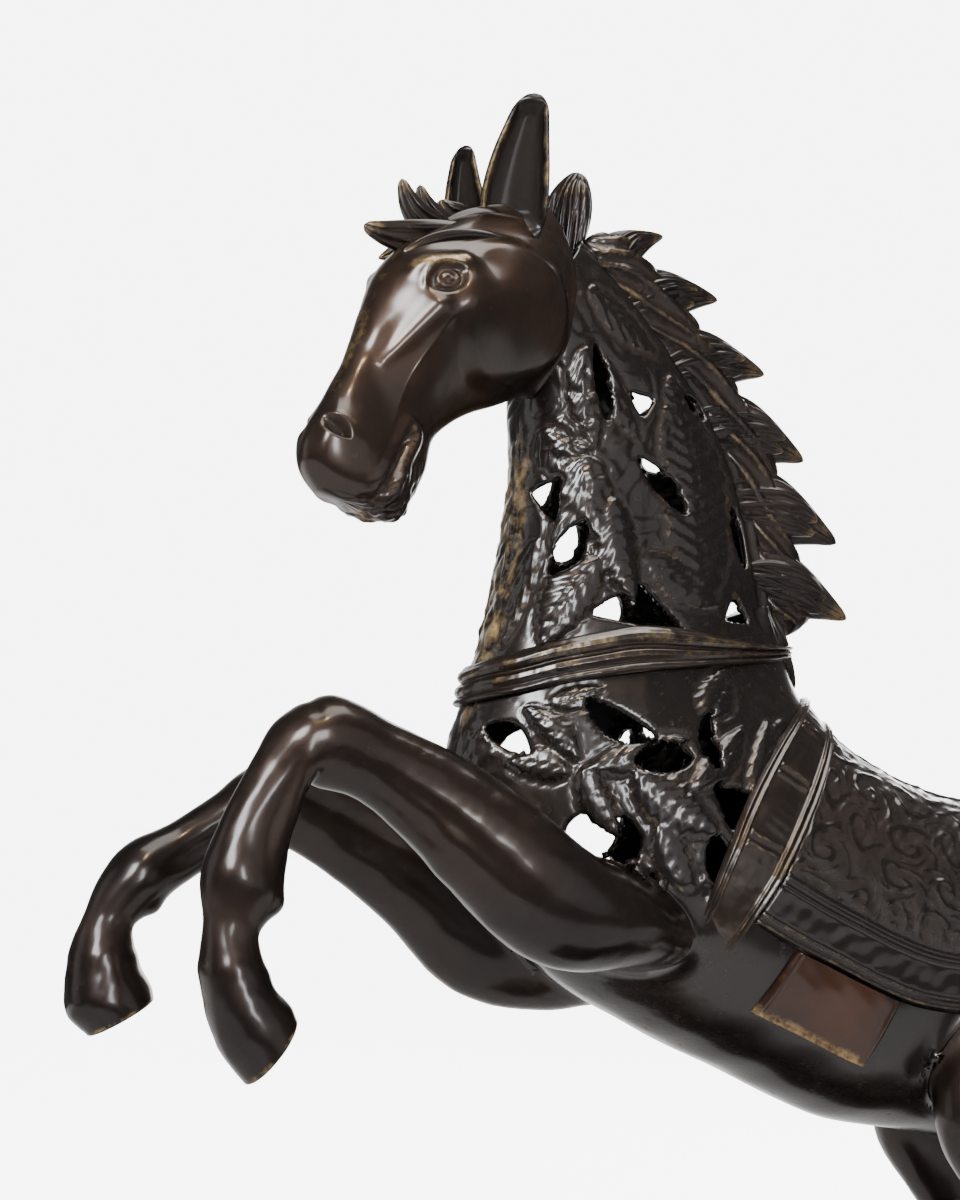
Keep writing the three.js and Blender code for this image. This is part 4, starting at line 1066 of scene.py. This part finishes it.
def makeFlap(name, start, end, material, node):
    lower = end if end > 90 else start

    def heightAt(s, u, t):
        p = section(bodyRows, u, t)
        d = np.abs(np.degrees(t) - lower)
        edge = np.minimum(np.minimum(d * 0.9, (u - flap["from"]) * 36), (flap["to"] - u) * 36)
        h = flap["height"] * smooth(0, 1.4, edge) + 0.7 * bump(edge - 1.9, 0.8) + 0.2 * waves(p, 10, 57)
        return np.maximum(h, 0.5), {"wear": 0.9 * bump(d - 1.5, 3.0) + 0.2 * bump(edge - 0.8, 1.3)}

    piece = patchPiece(name, flap["from"], flap["to"], start, end, 90, 70, heightAt)
    return finishPiece(piece, material, "rubbed_bronze", node)


# finishes

def giveInput(tree, made, key, value):
    if isinstance(value, bpy.types.NodeSocket):
        tree.links.new(value, made.inputs[key])
    else:
        made.inputs[key].default_value = value


def addNode(tree, kind, inputs=None, **settings):
    # a shader node with its settings; inputs holds constants, or sockets to link from
    made = tree.nodes.new(kind)
    for key, value in settings.items():
        setattr(made, key, value)
    for key, value in (inputs or {}).items():
        giveInput(tree, made, key, value)
    return made


def arithmetic(tree):
    # functions that add a sum, a difference or a product to the tree, held to 0 ... 1 unless free
    def maker(kind):
        return lambda a, b, free=False: addNode(tree, "ShaderNodeMath", {0: a, 1: b}, operation=kind,
                                                use_clamp=not free).outputs[0]
    return maker("ADD"), maker("SUBTRACT"), maker("MULTIPLY")


def noise(tree, place, scale, detail, roughness=0.5):
    return addNode(tree, "ShaderNodeTexNoise", {"Vector": place, "Scale": scale, "Detail": detail,
                                                "Roughness": roughness}).outputs[0]


def blendColour(tree, factor, a, b):
    # inputs 6 and 7 and output 2 are the colour sockets of the mix node
    return addNode(tree, "ShaderNodeMix", {0: factor, 6: a, 7: b}, data_type="RGBA").outputs[2]


def remap(tree, value, low, high, outLow=0.0, outHigh=1.0):
    limits = {0: value, 1: low, 2: high, 3: outLow, 4: outHigh}
    return addNode(tree, "ShaderNodeMapRange", limits).outputs[0]


def newGroup(name, inputs, outputs):
    # inputs and outputs give each socket's kind, or an input's first value
    tree = bpy.data.node_groups.new(name, "ShaderNodeTree")
    for way, sockets in (("INPUT", inputs), ("OUTPUT", outputs)):
        for label, value in sockets.items():
            kind = {str: value, tuple: colour, float: number}[type(value)]
            socket = tree.interface.new_socket(label, in_out=way, socket_type=kind)
            if value != kind:
                socket.default_value = value
    return tree, tree.nodes.new("NodeGroupInput").outputs, tree.nodes.new("NodeGroupOutput").inputs


number, colour, vector = "NodeSocketFloat", "NodeSocketColor", "NodeSocketVector"


def makePatinaGroup():
    # dark waxed patina: near black and red-brown clouds, golden where rubbed; near black in the recesses,
    # partly the dark patina held there and partly painted shade
    tree, given, result = newGroup(
        "patina",
        {"Position": vector, "Dark": (0.016, 0.011, 0.009, 1), "Brown": (0.07, 0.028, 0.012, 1),
         "Rubbed": (0.42, 0.28, 0.12, 1), "Warmth": 0.3, "Wear": 0.0, "Recess": 0.0, "Rough": 0.0},
        {"Color": colour, "Roughness": number, "Metallic": number, "Coat": number})
    add, take, times = arithmetic(tree)
    place, recess = given["Position"], given["Recess"]
    clouds = noise(tree, place, 22.0, 4.0)
    streaks = noise(tree, place, 120.0, 5.0, 0.65)
    specks = noise(tree, place, 700.0, 3.0)
    brownMask = times(remap(tree, clouds, 0.38, 0.66), times(given["Warmth"], 1.6))
    brownMask = add(brownMask, times(given["Warmth"], 0.35))
    base = blendColour(tree, brownMask, given["Dark"], given["Brown"])
    # rubbed metal shows in broken patches, so the mask is bitten by the finer noise
    bitten = times(given["Wear"], remap(tree, streaks, 0.36, 0.62))
    bitten = times(bitten, remap(tree, specks, 0.3, 0.55, 0.5, 1.0))
    worn = remap(tree, bitten, 0.12, 0.95)
    metal = blendColour(tree, worn, base, given["Rubbed"])
    rough = add(remap(tree, streaks, 0.3, 0.7, 0.30, 0.44), times(recess, 0.25))
    rough = add(rough, times(given["Rough"], 0.06))
    # painted shade: recesses and pits go to near black, partly as dark patina and partly as shade painted
    # in
    patinaAndShade = blendColour(tree, times(recess, 0.85), metal, (0.008, 0.006, 0.005, 1))
    tree.links.new(patinaAndShade, result["Color"])
    tree.links.new(take(rough, times(worn, 0.06)), result["Roughness"])
    # the recesses also lose metal and coat, which dims their reflections as painted shade
    tree.links.new(take(0.92, times(recess, 0.5)), result["Metallic"])
    tree.links.new(take(1.0, times(recess, 0.8)), result["Coat"])
    return tree


def makeSurfaceGroup():
    # heights, in metres, of the cast skin: orange peel, fine sand texture and pits
    tree, given, result = newGroup(
        "castSkin", {"Position": vector, "Rough": 0.0, "Pits": 1.0, "Peel": 1.0},
        {"Height": number, "Pit": number})
    add, take, times = arithmetic(tree)
    place = given["Position"]
    peel = noise(tree, place, 160.0, 2.0)
    sand = noise(tree, place, 900.0, 4.0, 0.7)
    chance = noise(tree, place, 65.0, 2.0)
    cells = addNode(tree, "ShaderNodeTexVoronoi", {"Vector": place, "Scale": 150.0}).outputs["Distance"]
    pit = times(times(remap(tree, cells, 0.22, 0.05), remap(tree, chance, 0.56, 0.66)), given["Pits"])
    height = times(times(peel, given["Peel"], True), 0.0005, True)
    grain = add(0.00005, times(given["Rough"], 0.00035, True), True)
    height = add(height, times(sand, grain, True), True)
    tree.links.new(take(height, times(pit, 0.0007, True), True), result["Height"])
    tree.links.new(pit, result["Pit"])
    return tree


patinaGroup = makePatinaGroup()
surfaceGroup = makeSurfaceGroup()

bronzes = {
    # warmth, pits, peel, coat weight, dark colour, brown colour, share of wear everywhere
    "body": (0.14, 1.0, 1.0, 1.0, (0.014, 0.011, 0.010, 1), (0.045, 0.027, 0.018, 1), 0.0),
    "head": (0.4, 0.5, 0.7, 0.75, (0.015, 0.011, 0.009, 1), (0.054, 0.029, 0.018, 1), 0.0),
    # the ears' copy is darker and less coated than the rest: painted shade for the ears
    "ear": (0.1, 0.5, 0.7, 0.35, (0.009, 0.008, 0.008, 1), (0.03, 0.02, 0.016, 1), 0.0),
    "limb": (0.26, 0.35, 0.6, 0.55, (0.014, 0.010, 0.009, 1), (0.044, 0.026, 0.018, 1), 0.0),
    "hair": (0.2, 0.5, 0.8, 0.8, (0.014, 0.010, 0.009, 1), (0.044, 0.026, 0.018, 1), 0.05),
    "harness": (0.28, 0.6, 0.8, 1.0, (0.018, 0.013, 0.011, 1), (0.056, 0.034, 0.022, 1), 0.05),
    "flap": (0.6, 0.4, 0.8, 0.8, (0.018, 0.012, 0.010, 1), (0.065, 0.026, 0.013, 1), 0.0),
    "plinth": (0.16, 0.6, 0.8, 0.7, (0.014, 0.011, 0.010, 1), (0.045, 0.027, 0.018, 1), 0.0),
}


def newMaterial(name):
    material = bpy.data.materials.new(name)
    material.use_nodes = True
    tree = material.node_tree
    shader = tree.nodes["Principled BSDF"]

    def give(**values):
        # spaces in an input's name are written as underscores
        for key, value in values.items():
            giveInput(tree, shader, key.replace("_", " "), value)

    return material, tree, give


def makeBronze(name, masked=True):
    warmth, pits, peel, coat, dark, brown, everywhere = bronzes[name]
    material, tree, give = newMaterial(name + "Bronze")
    add, _, times = arithmetic(tree)
    place = addNode(tree, "ShaderNodeTexCoord").outputs["Object"]
    wear, recess, rough = 0.0, 0.0, 0.0
    if masked:
        wear, recess, rough = (addNode(tree, "ShaderNodeAttribute", attribute_name=key).outputs["Fac"]
                               for key in ("wear", "recess", "rough"))
    skin = addNode(tree, "ShaderNodeGroup", node_tree=surfaceGroup)
    for key, value in (("Position", place), ("Rough", rough), ("Pits", pits), ("Peel", peel)):
        giveInput(tree, skin, key, value)
    # recesses and cast pits are darkened by the patina group: partly dark patina, partly painted shade
    deep = add(recess, times(skin.outputs["Pit"], 0.7))
    patina = addNode(tree, "ShaderNodeGroup", node_tree=patinaGroup)
    for key, value in (("Position", place), ("Dark", dark), ("Brown", brown), ("Warmth", warmth),
                       ("Wear", add(wear, everywhere)), ("Recess", deep), ("Rough", rough)):
        giveInput(tree, patina, key, value)
    made = patina.outputs
    relief = addNode(tree, "ShaderNodeBump", {"Height": skin.outputs["Height"], "Distance": 1.0,
                                              "Strength": 0.8})
    # coat and specular level follow the patina's coat, so the recesses reflect less: painted shade
    give(Base_Color=made["Color"], Roughness=made["Roughness"], Metallic=made["Metallic"],
         Coat_Weight=times(made["Coat"], coat), Coat_Roughness=0.19, Coat_IOR=1.6,
         Specular_Tint=(0.5, 0.48, 0.46, 1), Specular_IOR_Level=times(made["Coat"], 0.5),
         Normal=relief.outputs["Normal"])
    return material


def plainMetal(name, tone, roughness, scale, metallic=1.0, relief=0.00012):
    # raw metal or cloth with a grain in its colour, roughness and height
    material, tree, give = newMaterial(name)
    grain = noise(tree, addNode(tree, "ShaderNodeTexCoord").outputs["Object"], scale, 5.0)
    share = remap(tree, grain, 0.3, 0.7)
    darker = tuple(0.55 * value for value in tone[:3]) + (1,)
    height = arithmetic(tree)[2](grain, relief, True)
    give(Base_Color=blendColour(tree, share, darker, tone), Metallic=metallic,
         Roughness=remap(tree, grain, 0.3, 0.7, roughness - 0.08, roughness + 0.1),
         Normal=addNode(tree, "ShaderNodeBump", {"Height": height, "Distance": 1.0}).outputs["Normal"])
    return material


bodyBronze, headBronze, shadedEarBronze, limbBronze, hairBronze, harnessBronze, flapBronze = (
    makeBronze(key) for key in ("body", "head", "ear", "limb", "hair", "harness", "flap"))
plinthBronze = makeBronze("plinth", masked=False)
pinBronze = makeBronze("harness", masked=False)
rawBronze = plainMetal("rawBronze", (0.18, 0.11, 0.06, 1), 0.55, 260)
steel = plainMetal("zincSteel", (0.45, 0.45, 0.44, 1), 0.38, 400)
felt = plainMetal("greenFelt", (0.02, 0.06, 0.035, 1), 0.88, 1500, metallic=0.0, relief=0.0006)
print("finishes ready")

# the figure

def pins(casting):
    return [f"{casting}_joint_pin_{k}" for k in (1, 2, 3)]


def plainBody(name, start, end, rings, around, closedRear):
    p, masks, _ = bodyGrid(start, end, rings, around, False)
    for limb in ("leftHind", "rightHind"):
        p = meltInto(p, limbSamples[limb], 8)
    verts, faces = closedTube(p)
    openEnds = 1 if closedRear else 2
    piece = meshPiece(name, verts[:-openEnds], faces[:-openEnds], masks)
    giveWall(piece, rim=False)
    return finishPiece(piece, bodyBronze, "dark_bronze", name + "_casting", *pins(name))


# first and last place along the body, rings, points round it
plainBody("croup", 0, 3.5, 100, 240, True)
plainBody("barrel", 3.5, 6.6, 100, 260, False)
print("trunk ready")
piercedPiece("chest", 6.3, 11, 160, 280, ["chest_casting"])
piercedPiece("neck", 11, 17, 200, 220, ["neck_casting"] + pins("neck"))
print("pierced castings ready")
makeHead(headBronze)
makeEar("left", shadedEarBronze)
makeEar("right", shadedEarBronze)
print("head ready")
foreleg("leftForeleg", "leftFore", 7, 11, "left_foreleg")
foreleg("rightForeleg", "rightFore", 5, 9, "right_foreleg")
hindLeg("leftHindLeg", "leftHind", "left_hind_leg")
hindLeg("rightHindLeg", "rightHind", "right_hind_leg")
print("limbs ready")
makeMane(hairBronze)
makeForelock(hairBronze)
makeTail(hairBronze)
print("hair ready")
makeCollar(harnessBronze)
makeGirth(harnessBronze)
makeBlanket(bodyBronze)
makeFlap("leftFlap", *flap["turn"], flapBronze, "left_flap")
makeFlap("rightFlap", 180 - flap["turn"][1], 180 - flap["turn"][0], flapBronze, "right_flap")
print("harness ready")


def dressNode(name, material):
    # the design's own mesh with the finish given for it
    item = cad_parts[name]
    item.data.materials.clear()
    item.data.materials.append(material)


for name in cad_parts:
    if name.endswith("_sleeve"):
        dressNode(name, rawBronze)
    elif "stud" in name or name.endswith(("_nut", "_washer")):
        dressNode(name, steel)
    elif "_pin" in name:
        dressNode(name, pinBronze)
dressNode("plinth", plinthBronze)
dressNode("plinth_felt", felt)

# stage

stage = {
    "flat": 1.2, "brightness": 2.0,
    "world": 0.12,
    # size x, size y, power, position, what it faces, colour
    "lights": {
        "window": (0.7, 0.9, 62, (-1.6, -1.5, 1.7), (-0.1, 0, 0.35), (0.93, 0.97, 1.0)),
        "front": (0.35, 0.9, 20, (-0.45, -2.3, 0.8), (-0.1, 0, 0.38), (0.96, 0.98, 1.0)),
        "above": (1.6, 1.2, 34, (0.2, -0.3, 2.2), (0, 0, 0.3), (1.0, 0.98, 0.95)),
        "behind": (1.2, 1.2, 26, (1.2, 1.7, 1.1), (-0.1, 0, 0.4), (1.0, 1.0, 1.0)),
        "sparkle": (0.12, 0.12, 5, (-0.35, -0.9, 1.7), (-0.1, 0, 0.45), (1.0, 0.74, 0.42)),
    },
}


def makeBackdrop():
    # floor that curves up all round into a dome; pale and glowing, faintly on the middle of the floor
    # and more strongly further out, and not mirrored in the metal
    rings, around = 90, 96
    s = np.linspace(0, 1, rings)[:, None]
    a = np.arange(around)[None] * turn / around
    r = np.where(s < 0.3, 10 + s / 0.3 * stage["flat"] * 1000, 0)
    bend = np.clip((s - 0.3) / 0.7, 0, 1) * math.radians(150)
    r = np.where(s < 0.3, r, stage["flat"] * 1000 + 3200 * np.sin(bend))
    z = 3200 * (1 - np.cos(bend))
    grid = np.stack([r * np.cos(a), r * np.sin(a), z + 0 * a], -1)
    verts, faces = closedTube(grid)
    backdrop = meshPiece("backdrop", verts[:-1], faces[:-1])
    backdrop.data.flip_normals()
    material, tree, give = newMaterial("pale")
    place = addNode(tree, "ShaderNodeTexCoord").outputs["Object"]
    length = addNode(tree, "ShaderNodeVectorMath", {0: place}, operation="LENGTH").outputs["Value"]
    give(Base_Color=(0.86, 0.86, 0.87, 1), Roughness=0.9, Emission_Color=(1, 1, 1, 1),
         Emission_Strength=remap(tree, length, 0.4, 1.6, 0.35, stage["brightness"]))
    backdrop.data.materials.append(material)
    backdrop.visible_glossy = False


def card(name, size, place, target, strength):
    # a bright panel that shows only in reflections
    x, y = size[0] / 2, size[1] / 2
    mesh = bpy.data.meshes.new(name)
    mesh.from_pydata([(-x, -y, 0), (x, -y, 0), (x, y, 0), (-x, y, 0)], [], [(0, 1, 2, 3)])
    panel = bpy.data.objects.new(name, mesh)
    bpy.context.collection.objects.link(panel)
    aim(panel, place, target)
    material, _, give = newMaterial(name)
    give(Base_Color=(0, 0, 0, 1), Emission_Color=(1, 1, 1, 1), Emission_Strength=strength)
    panel.data.materials.append(material)
    panel.visible_camera = False
    panel.visible_diffuse = False
    panel.visible_shadow = False


def aim(item, place, target):
    from mathutils import Vector
    item.location = place
    item.rotation_euler = (Vector(target) - Vector(place)).to_track_quat("-Z", "Y").to_euler()


def makeLights():
    for name, (sizeX, sizeY, power, place, target, tone) in stage["lights"].items():
        data = bpy.data.lights.new(name, "AREA")
        data.shape = "RECTANGLE"
        data.size, data.size_y, data.energy, data.color = sizeX, sizeY, power, tone
        lamp = bpy.data.objects.new(name, data)
        bpy.context.collection.objects.link(lamp)
        aim(lamp, place, target)
    world = bpy.data.worlds.new("room")
    bpy.context.scene.world = world
    world.use_nodes = True
    sky = world.node_tree.nodes["Background"]
    sky.inputs["Color"].default_value = (1, 1, 1, 1)
    sky.inputs["Strength"].default_value = stage["world"]


makeBackdrop()
card("floorCard", (4.6, 2.6), (0.0, 1.9, -0.05), (0.0, 1.9, -1.0), 1.6)
card("nearFloorCard", (3.2, 1.5), (-0.1, 0.3, -0.06), (-0.1, 0.3, -1.0), 0.8)
card("rearCard", (2.4, 2.2), (0.8, 2.2, 1.0), (0, 0, 0.35), 1.3)
card("sideCard", (1.0, 1.8), (-2.3, 0.6, 0.9), (0, 0, 0.35), 0.8)
card("frontCard", (3.6, 2.2), (0.4, -2.4, 0.7), (-0.1, 0, 0.38), 0.6)
makeLights()

# camera: below the head, looking up at the horse's left side

view = {"target": (-0.155, 0.0, 0.382), "distance": 1.1, "around": -22, "up": -9, "lens": 90}


def makeCamera():
    around, up = math.radians(view["around"]), math.radians(view["up"])
    back = np.array([math.sin(around) * math.cos(up), -math.cos(around) * math.cos(up), math.sin(up)])
    data = bpy.data.cameras.new("camera")
    data.lens, data.sensor_width, data.sensor_fit = view["lens"], 36, "AUTO"
    data.clip_start, data.clip_end = 0.05, 30
    camera = bpy.data.objects.new("camera", data)
    bpy.context.collection.objects.link(camera)
    aim(camera, np.array(view["target"]) + back * view["distance"], view["target"])
    bpy.context.scene.camera = camera


makeCamera()
print("stage ready")
